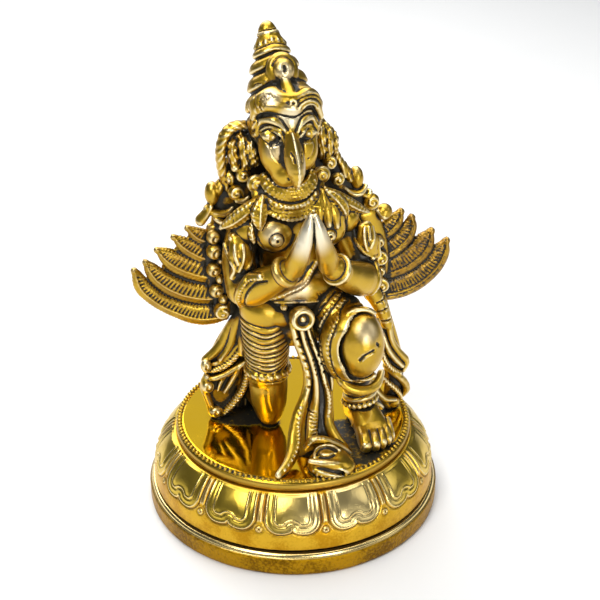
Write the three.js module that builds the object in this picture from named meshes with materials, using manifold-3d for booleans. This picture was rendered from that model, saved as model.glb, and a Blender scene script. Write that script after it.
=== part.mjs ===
// Garuda kneeling in prayer on a lotus pedestal, a small figure cast in brass.
// Millimetres, +Z up. The figure looks along -Y and the origin is the middle of the underside.
import * as THREE from 'three';
import { mergeVertices } from 'three/addons/utils/BufferGeometryUtils.js';
import Module from 'manifold-3d';

const wasm = await Module();
wasm.setup();

// Pedestal: an upright foot, a rounded fillet, a groove and a dome of lotus petals
const footRadius = 43;
const footHeight = 5.5;
const filletHeight = 1;
const filletInset = 1;
const grooveHeight = 1;
const grooveDepth = 1;
const domeRadius = 41.5;
const domeHeight = 14;
const domeFullness = 2.6; // higher keeps the dome wide for longer before it turns in
const petalCount = 14;
const petalRelief = 0.7;
const petalTurn = THREE.MathUtils.degToRad(-14); // one petal's middle, from the front towards +X

// Plate under the figure, cast with it, with a raised rim
const plateRadius = 34.4;
const plateThickness = 3;
const plateLedge = 0.6; // the pedestal shows this much beyond the plate
const plateSides = 48;
const rimWidth = 1.6;
const rimRise = 0.3;

// Figure: one height sets its whole size, because pose and carving are shares of it
const figureHeight = 114;
const poseHeight = 114; // the pose below is drawn on a figure this high, its plate at 0
const embed = 0.6; // how deep feet, knee and hems run into the plate, in pose units
const crownRidges = 6;
const crownRidgeDepth = 0.07;
const thighRidges = 6;
const thighRidgeDepth = 0.07;
const foldDepth = 0.2;

const pedestalHeight = footHeight + filletHeight + grooveHeight + domeHeight;
const pedestalTopRadius = plateRadius + plateLedge;
const plateTop = pedestalHeight + plateThickness;
const poseScale = figureHeight / poseHeight;
const front = [0, -1, 0];
const up = [0, 0, 1];

const brass = new THREE.MeshStandardMaterial({ color: 0xc9a02c, metalness: 1, roughness: 0.3 });
const turnedBrass = new THREE.MeshStandardMaterial({ color: 0xd8ab33, metalness: 1, roughness: 0.24 });

// Solids

function signedVolume(vertices, triangles) {
  const corner = (index) => new THREE.Vector3().fromArray(vertices, triangles[index] * 3);
  let volume = 0;
  for (let i = 0; i < triangles.length; i += 3) {
    volume += corner(i).dot(corner(i + 1).cross(corner(i + 2)));
  }
  return volume;
}

// Joins a closed geometry's shared corners and turns its faces outwards
function solid(geometry) {
  geometry.deleteAttribute('normal');
  geometry.deleteAttribute('uv');
  const merged = mergeVertices(geometry, 1e-4);
  const vertices = Float32Array.from(merged.getAttribute('position').array);
  const corners = merged.getIndex().array;
  const triangles = [];
  for (let i = 0; i < corners.length; i += 3) {
    const [a, b, c] = [corners[i], corners[i + 1], corners[i + 2]];
    if (a !== b && b !== c && c !== a) triangles.push(a, b, c);
  }
  if (signedVolume(vertices, triangles) < 0) triangles.reverse();
  return new wasm.Manifold(
    new wasm.Mesh({ numProp: 3, vertProperties: vertices, triVerts: Uint32Array.from(triangles) }),
  );
}

// Brings a piece drawn in pose units to its real size on the plate
function posed(geometry) {
  geometry.scale(poseScale, poseScale, poseScale);
  geometry.translate(0, 0, plateTop);
  return solid(geometry);
}

// Fills the small pockets closed in between joined pieces, as poured metal does
function poured(shape) {
  const shells = shape.decompose();
  return shells.filter((shell) => shell.volume() > 0).reduce((joined, shell) => joined.add(shell));
}

function turned(profile, sides, turn = 0) {
  const points = profile.map(([radius, height]) => new THREE.Vector2(radius, height));
  const geometry = new THREE.LatheGeometry(points, sides, turn);
  return geometry.rotateX(Math.PI / 2);
}

// A value along a piece, from evenly spaced ones
function along(values, share) {
  const place = Math.min(share, 0.9999) * (values.length - 1);
  const index = Math.floor(place);
  return THREE.MathUtils.lerp(values[index], values[index + 1], place - index);
}

// A limb, leaf, lock or fold: an oval section carried along a smooth path
function sweep({ path, across, deep = across, facing = front, sides = 8, rows = 5, carve = () => 1 }) {
  const curve = new THREE.CatmullRomCurve3(path.map((point) => new THREE.Vector3(...point)));
  const profile = [new THREE.Vector2(0, 0)];
  for (let row = 0; row <= rows; row++) profile.push(new THREE.Vector2(1, row / rows));
  profile.push(new THREE.Vector2(0, 1));
  const geometry = new THREE.LatheGeometry(profile, sides);
  const place = geometry.getAttribute('position');
  for (let i = 0; i < place.count; i++) {
    const share = place.getY(i);
    const angle = Math.atan2(place.getX(i), place.getZ(i));
    const reach = carve(angle, share);
    const tangent = curve.getTangent(share);
    const outward = new THREE.Vector3(...facing);
    outward.addScaledVector(tangent, -outward.dot(tangent)).normalize();
    const side = outward.clone().cross(tangent);
    const point = curve.getPoint(share);
    point.addScaledVector(side, place.getX(i) * along(across, share) * reach);
    point.addScaledVector(outward, place.getZ(i) * along(deep, share) * reach);
    place.setXYZ(i, point.x, point.y, point.z);
  }
  return posed(geometry);
}

function ball(centre, radii, lean = 0, sides = 6, rows = 3) {
  const geometry = new THREE.SphereGeometry(1, sides, rows);
  geometry.scale(...radii).rotateX(lean).translate(...centre);
  return posed(geometry);
}

// A closed ring about an axis, with a section of the given width and thickness
function ring({ centre, axis, radius, width, thickness, oval = 1, sides = 12, corners = 4 }) {
  const section = [];
  for (let corner = 0; corner <= corners; corner++) {
    const angle = (corner % corners) / corners * Math.PI * 2;
    section.push(new THREE.Vector2(radius + thickness * Math.cos(angle), width * Math.sin(angle)));
  }
  const geometry = new THREE.LatheGeometry(section, sides);
  geometry.scale(1, 1, oval);
  const turn = new THREE.Quaternion().setFromUnitVectors(
    new THREE.Vector3(0, 1, 0),
    new THREE.Vector3(...axis).normalize(),
  );
  geometry.applyQuaternion(turn).translate(...centre);
  return posed(geometry);
}

const ripple = (count, depth) => (angle, share) => 1 + depth * Math.cos(count * share * Math.PI * 2);
const folds = (count, depth) => (angle) => 1 + depth * Math.cos(count * angle);

// Pedestal

const petalSteps = [1, -1, 0.7, 0.7, -1]; // rib, outline, panel, panel, outline
const domeRows = [
  { share: 0, petals: 0 },
  { share: 0.2, petals: 0, outline: -0.7 },
  { share: 0.3, petals: 1 },
  { share: 0.65, petals: 1 },
  { share: 0.94, petals: 1 },
  { share: 1, petals: 0 },
];

function lotusPedestal() {
  const domeFoot = pedestalHeight - domeHeight;
  const profile = [
    [0, 0],
    [footRadius, 0],
    [footRadius, footHeight],
    [footRadius - filletInset, footHeight + filletHeight],
    [domeRadius - grooveDepth, domeFoot - grooveHeight / 2],
  ];
  const firstDomeRow = profile.length;
  for (const { share } of domeRows) {
    const taper = (domeRadius - pedestalTopRadius) * (1 - share ** domeFullness);
    profile.push([pedestalTopRadius + taper, domeFoot + share * domeHeight]);
  }
  profile.push([0, pedestalHeight]);
  const sides = petalCount * petalSteps.length;
  const geometry = turned(profile, sides, petalTurn - Math.PI / petalCount);
  const place = geometry.getAttribute('position');
  for (let i = 0; i < place.count; i++) {
    const row = domeRows[(i % profile.length) - firstDomeRow];
    if (!row) continue;
    const step = Math.floor(i / profile.length) % petalSteps.length;
    const outline = step === 0 ? 0 : row.outline ?? 0;
    const relief = petalRelief * (row.petals * petalSteps[step] + outline);
    const radius = Math.hypot(place.getX(i), place.getY(i));
    const grow = (radius + relief) / radius;
    place.setXY(i, place.getX(i) * grow, place.getY(i) * grow);
  }
  return solid(geometry);
}

// Plate

function plate() {
  const geometry = turned([
    [0, 0],
    [plateRadius, 0],
    [plateRadius, plateThickness - rimRise],
    [plateRadius - rimWidth * 0.35, plateThickness + rimRise],
    [plateRadius - rimWidth * 0.8, plateThickness + rimRise],
    [plateRadius - rimWidth, plateThickness],
    [0, plateThickness],
  ], plateSides);
  return solid(geometry.translate(0, 0, pedestalHeight));
}

// Body and head

function body() {
  const torso = {
    path: [[0.5, 0, 30], [0.6, -1, 38], [0.4, -1, 46], [0, -1.5, 56], [-0.6, -1.5, 64], [-1.6, -2, 71], [-2.2, -2.5, 80]],
    across: [10, 10.6, 8.8, 11, 13.5, 8.5, 4.5],
    deep: [8, 8.2, 6.6, 7.6, 8.4, 6.5, 5],
    sides: 9,
    rows: 6,
  };
  const mantle = new THREE.Shape();
  mantle.moveTo(-9, 87);
  mantle.quadraticCurveTo(-20, 80, -22, 68);
  mantle.quadraticCurveTo(-27, 58, -23, 33);
  mantle.lineTo(-12, 37);
  mantle.lineTo(12, 46);
  mantle.lineTo(20, 44);
  mantle.lineTo(30, 33.5);
  mantle.quadraticCurveTo(32, 56, 19, 70);
  mantle.quadraticCurveTo(13, 80, 8, 88);
  const slab = new THREE.ExtrudeGeometry(mantle, { depth: 4.5, bevelEnabled: false, curveSegments: 3 });
  slab.rotateX(Math.PI / 2).translate(0, 6.2, 0);
  return [
    sweep(torso),
    posed(slab),
    ball([-7.2, -7.6, 61.6], [4.8, 4.2, 4.8], 0, 7, 5),
    ball([6, -7.6, 61.2], [4.8, 4.2, 4.8], 0, 7, 5),
    ring({ centre: [-2.4, -3.2, 71.6], axis: [0.05, -0.42, 0.9], radius: 7.6, width: 1.9, thickness: 2.2 }),
    sweep({ path: [[-2, 5, 90], [-1, 7, 78], [0, 7, 64]], across: [8, 9, 5], deep: [3, 3.2, 1.6], sides: 6, rows: 3 }),
  ];
}

function head() {
  const skull = {
    path: [[-3.4, -7, 76.8], [-2.9, -5, 80], [-2.2, -3.4, 87], [-2.2, -1.5, 95]],
    across: [2.6, 6.4, 8.5, 9],
    deep: [2.4, 6, 8.2, 8.6],
    sides: 10,
    rows: 5,
  };
  const beak = {
    path: [[-3, -9.5, 92.5], [-3.3, -12.8, 89], [-3.3, -15.6, 85], [-2.7, -17.2, 80.4]],
    across: [1.3, 2.7, 3, 0.5],
    deep: [1.8, 3.4, 3.4, 0.7],
    sides: 6,
    rows: 4,
  };
  const pieces = [sweep(skull), sweep(beak)];
  for (const side of [-1, 1]) {
    const eye = -3.3 + side * 4.5;
    pieces.push(ball([eye, -9, 90.2], [2.5, 1.6, 1.4]));
    pieces.push(sweep({
      path: [[eye - side * 2.9, -10, 91.8], [eye, -8.8, 93.4], [eye + side * 3.4, -5.6, 91.4]],
      across: [0.8, 0.9, 0.6],
      sides: 4,
      rows: 3,
    }));
  }
  return pieces;
}

function crown() {
  const axis = { path: [[-2.3, 0, 91], [-3.5, 4.5, 102.4], [-4.7, 9, 114]] };
  const pieces = [
    sweep({
      ...axis,
      across: [9.5, 9.2, 8.4, 7.3, 6.2, 5.1, 4.2, 3.4, 2.8, 0.8],
      sides: 10,
      rows: crownRidges * 2,
      carve: ripple(crownRidges, -crownRidgeDepth),
    }),
    ring({ centre: [-2.4, -0.6, 94.4], axis: [0, -0.2, 1], radius: 9, width: 1.3, thickness: 1.1 }),
    ball([-2.9, -1.6, 103.4], [4, 2.2, 5.2], -0.35, 8, 5),
    sweep({ path: [[-2.9, -3.4, 102], [-2.9, -9.4, 95.6]], across: [1.2, 1.5], sides: 5, rows: 1 }),
  ];
  for (const x of [-7, -2.9, 1.4]) pieces.push(ball([x, -8.2, 96.6], [2.4, 1.8, 1.9]));
  return pieces;
}

// Hair, beads and scrolls between the head and the wings

function hairAndBeads() {
  const arch = { across: [1.5, 1.6, 1.5], sides: 5, rows: 5 };
  const lock = { deep: [2.6, 3.2, 2.6], carve: folds(4, 0.14), rows: 3 };
  const pieces = [
    sweep({ ...arch, path: [[-9.5, 2.5, 90], [-14.5, 3, 88], [-18, 3, 83.5], [-17.6, 3, 75]] }),
    sweep({ ...arch, path: [[7, 2.5, 90], [11.2, 3, 85], [12.6, 3, 79], [18, 3, 71]] }),
    sweep({ ...lock, path: [[-10.8, 0, 89], [-13, 0, 82], [-13.6, 0, 73]], across: [2.6, 4.4, 4] }),
    sweep({ ...lock, path: [[7.2, 0, 89], [9, 0, 82], [10.8, 0, 74]], across: [2.4, 3.4, 3.8] }),
  ];
  for (const [x, z] of [[-10.3, 74.5], [7.6, 75.6]]) {
    pieces.push(ball([x, -4.2, z], [2.7, 4, 2.7]));
  }
  const beads = [
    [-15.1, -0.6, 70, 2.4], [-24.4, 3, 62.4, 2.4], [12.6, -1, 74, 2.4], [24.4, 2.6, 63, 2.3], [27.4, 3, 58.2, 2.3],
    [-21.5, 0.8, 55, 2.4], [-21.7, 1, 48.6, 2.2], [-21.5, 1, 42.3, 2.2], [-19.4, 1, 35.9, 2.3],
    [25.8, 1, 47, 2.3], [26, 1, 39, 2.3],
  ];
  for (const [x, y, z, radius] of beads) pieces.push(ball([x, y, z], [radius, radius, radius]));
  for (const x of [-21.1, 19.4]) pieces.push(ball([x, 3.6, 70], [2.2, 2.2, 3]));
  return pieces;
}

// Wings: fans of crescent feathers, each from its root to a tip that turns up

function feather(root, tip, width) {
  const bend = (share) => {
    const [fromX, fromZ] = [0.8, 0.12]; // the bend's pull along the feather's run and rise
    const pull = 2 * share * (1 - share);
    const end = share * share;
    const x = root[0] + (tip[0] - root[0]) * (pull * fromX + end);
    const z = root[1] + (tip[1] - root[1]) * (pull * fromZ + end);
    return [x, 4.2, z];
  };
  return sweep({
    path: [0, 0.25, 0.5, 0.75, 1].map(bend),
    across: [width, width * 1.1, width * 1.1, width, 0.6],
    deep: [1.5, 1.5, 1.4, 1.2, 0.6],
    sides: 5,
    rows: 5,
  });
}

function wings() {
  const rightRoots = [[-20, 34.7], [-20, 40.6], [-20, 47], [-21, 52.6], [-22, 57]];
  const rightTips = [[-42.8, 49.4], [-39.8, 51.9], [-36.4, 54.9], [-31.9, 58.4], [-27.8, 60.6]];
  const leftRoots = [[25, 36], [26, 42.4], [25.5, 48.4], [24.5, 52.8]];
  const leftTips = [[46.3, 48.6], [41.9, 52], [35.9, 56.4], [32.4, 58.8]];
  const right = rightRoots.map((root, i) => feather(root, rightTips[i], 3 - 0.2 * i));
  const left = leftRoots.map((root, i) => feather(root, leftTips[i], 3.1 - 0.25 * i));
  return [...right, ...left];
}

// Arms, hands pressed together, and the feather cape on the shoulders

function arms() {
  const upper = { across: [5, 4.8, 4.4], deep: [5, 4.6, 4.4], sides: 7, rows: 2 };
  const fore = { across: [4.4, 4.8, 3.9, 2.9], deep: [4.2, 4.4, 3.6, 2.7], sides: 7, rows: 3 };
  const hand = { across: [2.8, 3, 2.6, 2, 1.1], deep: [2.2, 2.3, 2.1, 1.7, 1.1], sides: 6, rows: 4 };
  const bangle = { radius: 3.4, width: 1.3, thickness: 1.1, sides: 9 };
  return [
    sweep({ ...upper, path: [[-13, -0.5, 62.5], [-15.6, -2.5, 54], [-15.6, -6.5, 45]] }),
    sweep({ ...upper, path: [[12.4, -0.5, 62.5], [17.6, -2.5, 53], [20.4, -6.5, 44]] }),
    sweep({ ...fore, path: [[-15.8, -5.6, 43], [-13.2, -9.4, 46.4], [-8.8, -13.4, 51.4], [-3.8, -17.4, 56.6]] }),
    sweep({ ...fore, path: [[20.6, -5.6, 42.4], [17.4, -9.8, 45.6], [12, -13.8, 50.4], [5.6, -17.4, 55.8]] }),
    sweep({ ...hand, path: [[-3.2, -17.8, 56.4], [-2.6, -19.4, 60.6], [-1.8, -20.5, 65], [-1, -21, 69], [-0.6, -21.2, 72.3]] }),
    sweep({ ...hand, path: [[4.9, -17.8, 56], [3.8, -19.4, 60.6], [2.2, -20.5, 65], [0.8, -21, 69], [0.2, -21.2, 72.3]] }),
    ring({ ...bangle, centre: [-6, -15.8, 54.3], axis: [0.7, -0.56, 0.7] }),
    ring({ ...bangle, centre: [8, -16, 53.7], axis: [-0.8, -0.5, 0.62] }),
  ];
}

function cape() {
  const leaf = { across: [0.6, 2.1, 2.3, 0.5], deep: [0.8, 1.5, 1.4, 0.5], sides: 5, rows: 3 };
  const leaves = [
    [[-6, -6, 72.6], [-12, -6.2, 67.4], [-17.6, -3, 59.4]],
    [[-6.6, -8.6, 69.6], [-8.2, -10.6, 66.4], [-8.4, -11, 61.8]],
    [[3, -6, 73], [10.6, -5.4, 68.4], [18.6, -2, 62.6]],
    [[3.6, -8.4, 70.4], [9.4, -8.4, 65.6], [14.4, -6.4, 58.2]],
  ];
  const armlet = { across: [2.2, 3.5, 2.6, 0.8], deep: [2, 2.8, 2.2, 1], sides: 6, rows: 3 };
  return [
    ...leaves.map((path) => sweep({ ...leaf, path })),
    sweep({ ...armlet, path: [[-16, -4.4, 61.4], [-16.4, -6, 56], [-15.6, -7.4, 48.6]] }),
    sweep({ ...armlet, path: [[18.4, -4.4, 59.6], [19.6, -6, 54.4], [21.4, -7.4, 48.6]] }),
  ];
}

// Hips, belt, kneeling right leg and raised left leg

function hipsAndLegs() {
  const kneeHeight = 18;
  const pieces = [
    ball([0.6, 0.4, 33.4], [13, 9.4, 8.6], 0, 10, 5),
    ring({ centre: [0.5, -1, 38.6], axis: up, radius: 10.4, width: 1.6, thickness: 1.2, oval: 0.84 }),
    sweep({
      path: [[-8.6, -2.6, 37], [-8.9, -3.3, kneeHeight]],
      across: [6.4, 6.9, 6.4],
      deep: [5.6, 6.2, 5.9],
      carve: ripple(thighRidges, thighRidgeDepth),
      sides: 9,
      rows: thighRidges * 2,
    }),
    ring({ centre: [-8.9, -3.3, kneeHeight + 1], axis: up, radius: 5.8, width: 1.5, thickness: 1.1, sides: 9 }),
    sweep({
      path: [[-8.9, -3.3, kneeHeight], [-8.7, -3.2, 9.5], [-7.9, -2.8, -embed]],
      across: [5.4, 5.2, 4.3, 1.8],
      rows: 4,
    }),
    sweep({
      path: [[-8, -1, 5], [-8.4, 9, 5], [-8, 19, 4], [-8, 26, 1.2]],
      across: [3.6, 5, 4.2, 3.2],
      deep: [4, 4.6, 4, 1.8],
      facing: up,
      sides: 6,
      rows: 3,
    }),
    sweep({ path: [[5.5, -1, 35], [9.8, -9, 36.6], [12.6, -15, 34]], across: [7.4, 8, 7.6], deep: [6.4, 7, 8], rows: 2 }),
    ball([12.9, -16, 29.8], [9.3, 8, 11.8], 0.1, 10, 7),
    sweep({ path: [[14.6, -13.6, 20], [17, -11, 8]], across: [5, 4.1], sides: 7, rows: 1 }),
    ring({ centre: [16.9, -11.2, 12.4], axis: [-0.2, 0.1, 1], radius: 4.3, width: 1.2, thickness: 1.2, sides: 9 }),
    sweep({
      path: [[17.6, -5.4, 2.6], [18, -11, 4.6], [18.6, -18, 3.4], [19, -23.4, 1]],
      across: [3.4, 4.2, 4.6, 4.2],
      deep: [3.2, 4.8, 3.6, 1.6],
      facing: up,
      rows: 4,
    }),
  ];
  return pieces;
}

// Sash between the legs, and the pleated cloth hanging at each side

function cloth() {
  return [
    ring({ centre: [-0.7, -13.6, 39.2], axis: front, radius: 2.5, width: 1.4, thickness: 1, sides: 9 }),
    ball([-0.7, -12.8, 39.2], [2.4, 3, 2.4]),
    sweep({ path: [[-0.5, -6, 37.6], [-0.6, -13.4, 38.4]], across: [3.4, 3], facing: up, sides: 6, rows: 1 }),
    sweep({
      path: [[-0.2, -11.6, 37.6], [1.4, -13, 30], [3.1, -14.6, 21], [2.8, -17.4, 12], [1.8, -20.6, 5], [1.4, -23, -embed]],
      across: [2.4, 2.9, 3.4, 4.4, 6.2, 7.6],
      deep: [1.7, 1.9, 2.1, 2, 1.9, 1.6],
      carve: folds(5, foldDepth),
      sides: 10,
      rows: 6,
    }),
    sweep({ path: [[-1.6, -20.6, 7], [-5, -25, 2.4], [-11.6, -29.2, 0.2]], across: [2.4, 2.6, 1.4], deep: [2, 1.6, 0.8], sides: 5, rows: 4 }),
    sweep({ path: [[-1.4, -23.6, 1.6], [3, -25.4, 4.4], [9.4, -26.4, 0.2]], across: [1.4, 1.5, 1], sides: 5, rows: 4 }),
    ball([4.8, -29.2, 0.9], [5.2, 3.8, 2.6], 0.1, 9, 5),
    sweep({
      path: [[-11.5, 1.5, 37], [-15.6, 3.6, 28], [-18.6, 4.8, 18], [-19.4, 5, 9], [-20.4, 5, -embed]],
      across: [2.4, 4, 6.4, 6.4, 3],
      deep: [3, 2.9, 2.7, 2.5, 1.8],
      carve: folds(5, foldDepth),
      sides: 10,
      rows: 6,
    }),
    sweep({ path: [[-17, 4, 26], [-21.6, 4.4, 20.6], [-25, 4.6, 17.4]], across: [1.6, 2, 1.2], sides: 5, rows: 2 }),
    sweep({
      path: [[20, 1.6, 45], [25.6, 0.6, 36], [28, -1, 27], [30, -2, 17], [30.8, -2, 9], [29.6, -1.6, -embed]],
      across: [2.6, 2, 2.6, 3.6, 4, 2.4],
      deep: [3, 2.6, 2.4, 2.4, 2.4, 2],
      carve: folds(4, foldDepth),
      rows: 6,
    }),
  ];
}

function garudaFigure() {
  const pieces = [
    ...body(),
    ...head(),
    ...crown(),
    ...hairAndBeads(),
    ...wings(),
    ...arms(),
    ...cape(),
    ...hipsAndLegs(),
    ...cloth(),
  ];
  return poured(pieces.reduce((joined, piece) => joined.add(piece), plate()));
}

function named(name, shape, material) {
  const { vertProperties, triVerts } = shape.getMesh();
  const geometry = new THREE.BufferGeometry();
  geometry.setAttribute('position', new THREE.BufferAttribute(Float32Array.from(vertProperties), 3));
  geometry.setIndex(new THREE.BufferAttribute(Uint32Array.from(triVerts), 1));
  geometry.computeVertexNormals();
  const mesh = new THREE.Mesh(geometry, material);
  mesh.name = name;
  return mesh;
}

const idol = new THREE.Group();
idol.add(named('lotus_pedestal', lotusPedestal(), turnedBrass));
idol.add(named('garuda_figure', garudaFigure(), brass));

export default idol;
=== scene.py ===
# Garuda kneeling in prayer on a lotus pedestal, cast and chased in brass.
# The carving is modelled like clay: rounded shapes are pressed into a fine grid, whose skin becomes the mesh.
import math
import time

import bpy
import numpy as np
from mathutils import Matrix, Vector


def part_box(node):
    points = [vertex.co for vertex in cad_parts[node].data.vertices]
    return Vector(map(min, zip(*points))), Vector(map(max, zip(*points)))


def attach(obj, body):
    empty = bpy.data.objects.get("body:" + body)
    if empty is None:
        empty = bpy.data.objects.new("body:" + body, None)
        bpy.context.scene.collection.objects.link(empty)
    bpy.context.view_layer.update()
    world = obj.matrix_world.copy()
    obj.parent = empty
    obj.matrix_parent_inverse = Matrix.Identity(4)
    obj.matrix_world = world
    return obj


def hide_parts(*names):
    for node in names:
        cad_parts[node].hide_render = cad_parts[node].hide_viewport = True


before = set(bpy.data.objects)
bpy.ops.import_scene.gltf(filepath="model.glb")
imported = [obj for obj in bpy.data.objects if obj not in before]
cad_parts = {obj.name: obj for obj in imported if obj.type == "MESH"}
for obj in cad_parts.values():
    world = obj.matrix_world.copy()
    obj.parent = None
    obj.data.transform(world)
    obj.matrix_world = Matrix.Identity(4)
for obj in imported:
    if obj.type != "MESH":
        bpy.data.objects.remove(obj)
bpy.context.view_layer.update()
started = time.time()


def report(stage):
    print(f"{time.time() - started:6.1f} s  {stage}", flush=True)


mm = 0.001
plateThickness = 3.0
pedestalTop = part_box("lotus_pedestal")[1][2] / mm
plateTop = pedestalTop + plateThickness
front = (0.0, -1.0, 0.0)
up = (0.0, 0.0, 1.0)

# Clay: a grid of distances, lengths in mm, heights above the plate

grain = 0.32  # spacing of the grid
coarse = 2 * grain  # spacing of the grid in which hollows are felt
far = 4.0  # the distance where nothing is near
wideMargin, lineMargin = 1.2, 0.4  # how far round a shape, or a chased line, the grid is worked
tiny = 1e-5
cubeCorners = [(i, j, k) for i in (0, 1) for j in (0, 1) for k in (0, 1)]


def newClay(low, high):
    low = np.floor(np.array(low, float) / coarse) * coarse
    counts = np.ceil((np.array(high, float) - low) / grain).astype(int) + 1
    return {"low": low, "field": np.full(counts, far, np.float32)}


def openGrid(clay, low, high):
    shape = clay["field"].shape
    first = np.clip(np.floor((low - clay["low"]) / grain).astype(int), 0, shape)
    last = np.clip(np.ceil((high - clay["low"]) / grain).astype(int) + 1, 0, shape)
    if np.any(last <= first):
        return None, None
    axes = [(np.arange(first[k], last[k]) * grain + clay["low"][k]).astype(np.float32) for k in range(3)]
    grid = [axes[0][:, None, None], axes[1][None, :, None], axes[2][None, None, :]]
    return tuple(slice(first[k], last[k]) for k in range(3)), grid


def softMin(a, b, blend):
    if blend <= 0:
        return np.minimum(a, b)
    share = np.clip(0.5 + 0.5 * (b - a) / blend, 0, 1)
    return b + (a - b) * share - blend * share * (1 - share)


# Adds a shape to the clay, or cuts it out, with its edge blended over a length
def press(clay, low, high, distance, blend, cut, margin):
    window, grid = openGrid(clay, low - blend - margin, high + blend + margin)
    if window is None:
        return
    field = clay["field"]
    found = distance(*grid)
    if cut:
        field[window] = -softMin(-field[window], found, blend)
    else:
        field[window] = softMin(field[window], found, blend)


def unit(vector):
    vector = np.array(vector, float)
    return vector / max(np.linalg.norm(vector), 1e-9)


def unitRows(rows):
    return rows / (np.linalg.norm(rows, axis=1, keepdims=True) + 1e-9)


def smoothPath(points, count):
    points = np.array(points, float)
    if len(points) < 3:
        share = np.linspace(0, 1, count)[:, None]
        return points[0] * (1 - share) + points[-1] * share
    knots = np.array([2 * points[0] - points[1], *points, 2 * points[-1] - points[-2]])
    place = np.linspace(0, len(points) - 1, count)
    i = np.minimum(place.astype(int), len(points) - 2)
    t = (place - i)[:, None]
    a, b, c, d = knots[i], knots[i + 1], knots[i + 2], knots[i + 3]
    return 0.5 * (2 * b + (c - a) * t + (2 * a - 5 * b + 4 * c - d) * t * t
                  + (3 * b - a - 3 * c + d) * t ** 3)


def pathLength(points):
    return np.linalg.norm(np.diff(np.array(points, float), axis=0), axis=1).sum()


# Evenly placed values, stretched to a number of steps
def spread(values, count):
    values = np.atleast_1d(np.array(values, float))
    if len(values) == 1:
        return np.full(count, values[0])
    return np.interp(np.linspace(0, 1, count), np.linspace(0, 1, len(values)), values)


def bump(x, middle, width):
    return np.exp(-((x - middle) / width) ** 2)


def ramp(values, start, end):
    share = np.clip((values - start) / (end - start), 0, 1)
    return share * share * (3 - 2 * share)


def oval(centre, radii, start=0.0, end=360.0, count=20):
    angles = np.radians(np.linspace(start, end, count))
    return np.stack([centre[0] + radii[0] * np.cos(angles), centre[1] + radii[1] * np.sin(angles)], axis=1)


# An ellipsoid. turn is about the front-to-back axis, lean about the side-to-side axis.
def ball(clay, centre, radii, blend=0.1, cut=False, lean=0.0, turn=0.0, margin=wideMargin):
    centre = np.array(centre, float)
    radii = np.array([radii] * 3 if np.isscalar(radii) else radii, float)
    reach = radii if not (lean or turn) else np.full(3, radii.max())
    cosLean, sinLean = math.cos(lean), math.sin(lean)
    cosTurn, sinTurn = math.cos(turn), math.sin(turn)

    def distance(x, y, z):
        x, y, z = x - centre[0], y - centre[1], z - centre[2]
        if turn:
            x, z = x * cosTurn + z * sinTurn, z * cosTurn - x * sinTurn
        if lean:
            y, z = y * cosLean + z * sinLean, z * cosLean - y * sinLean
        length = np.sqrt(x * x + y * y + z * z) + tiny
        share = np.sqrt((x / radii[0]) ** 2 + (y / radii[1]) ** 2 + (z / radii[2]) ** 2) + tiny
        return length - length / share

    press(clay, centre - reach, centre + reach, distance, blend, cut, margin)


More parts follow.
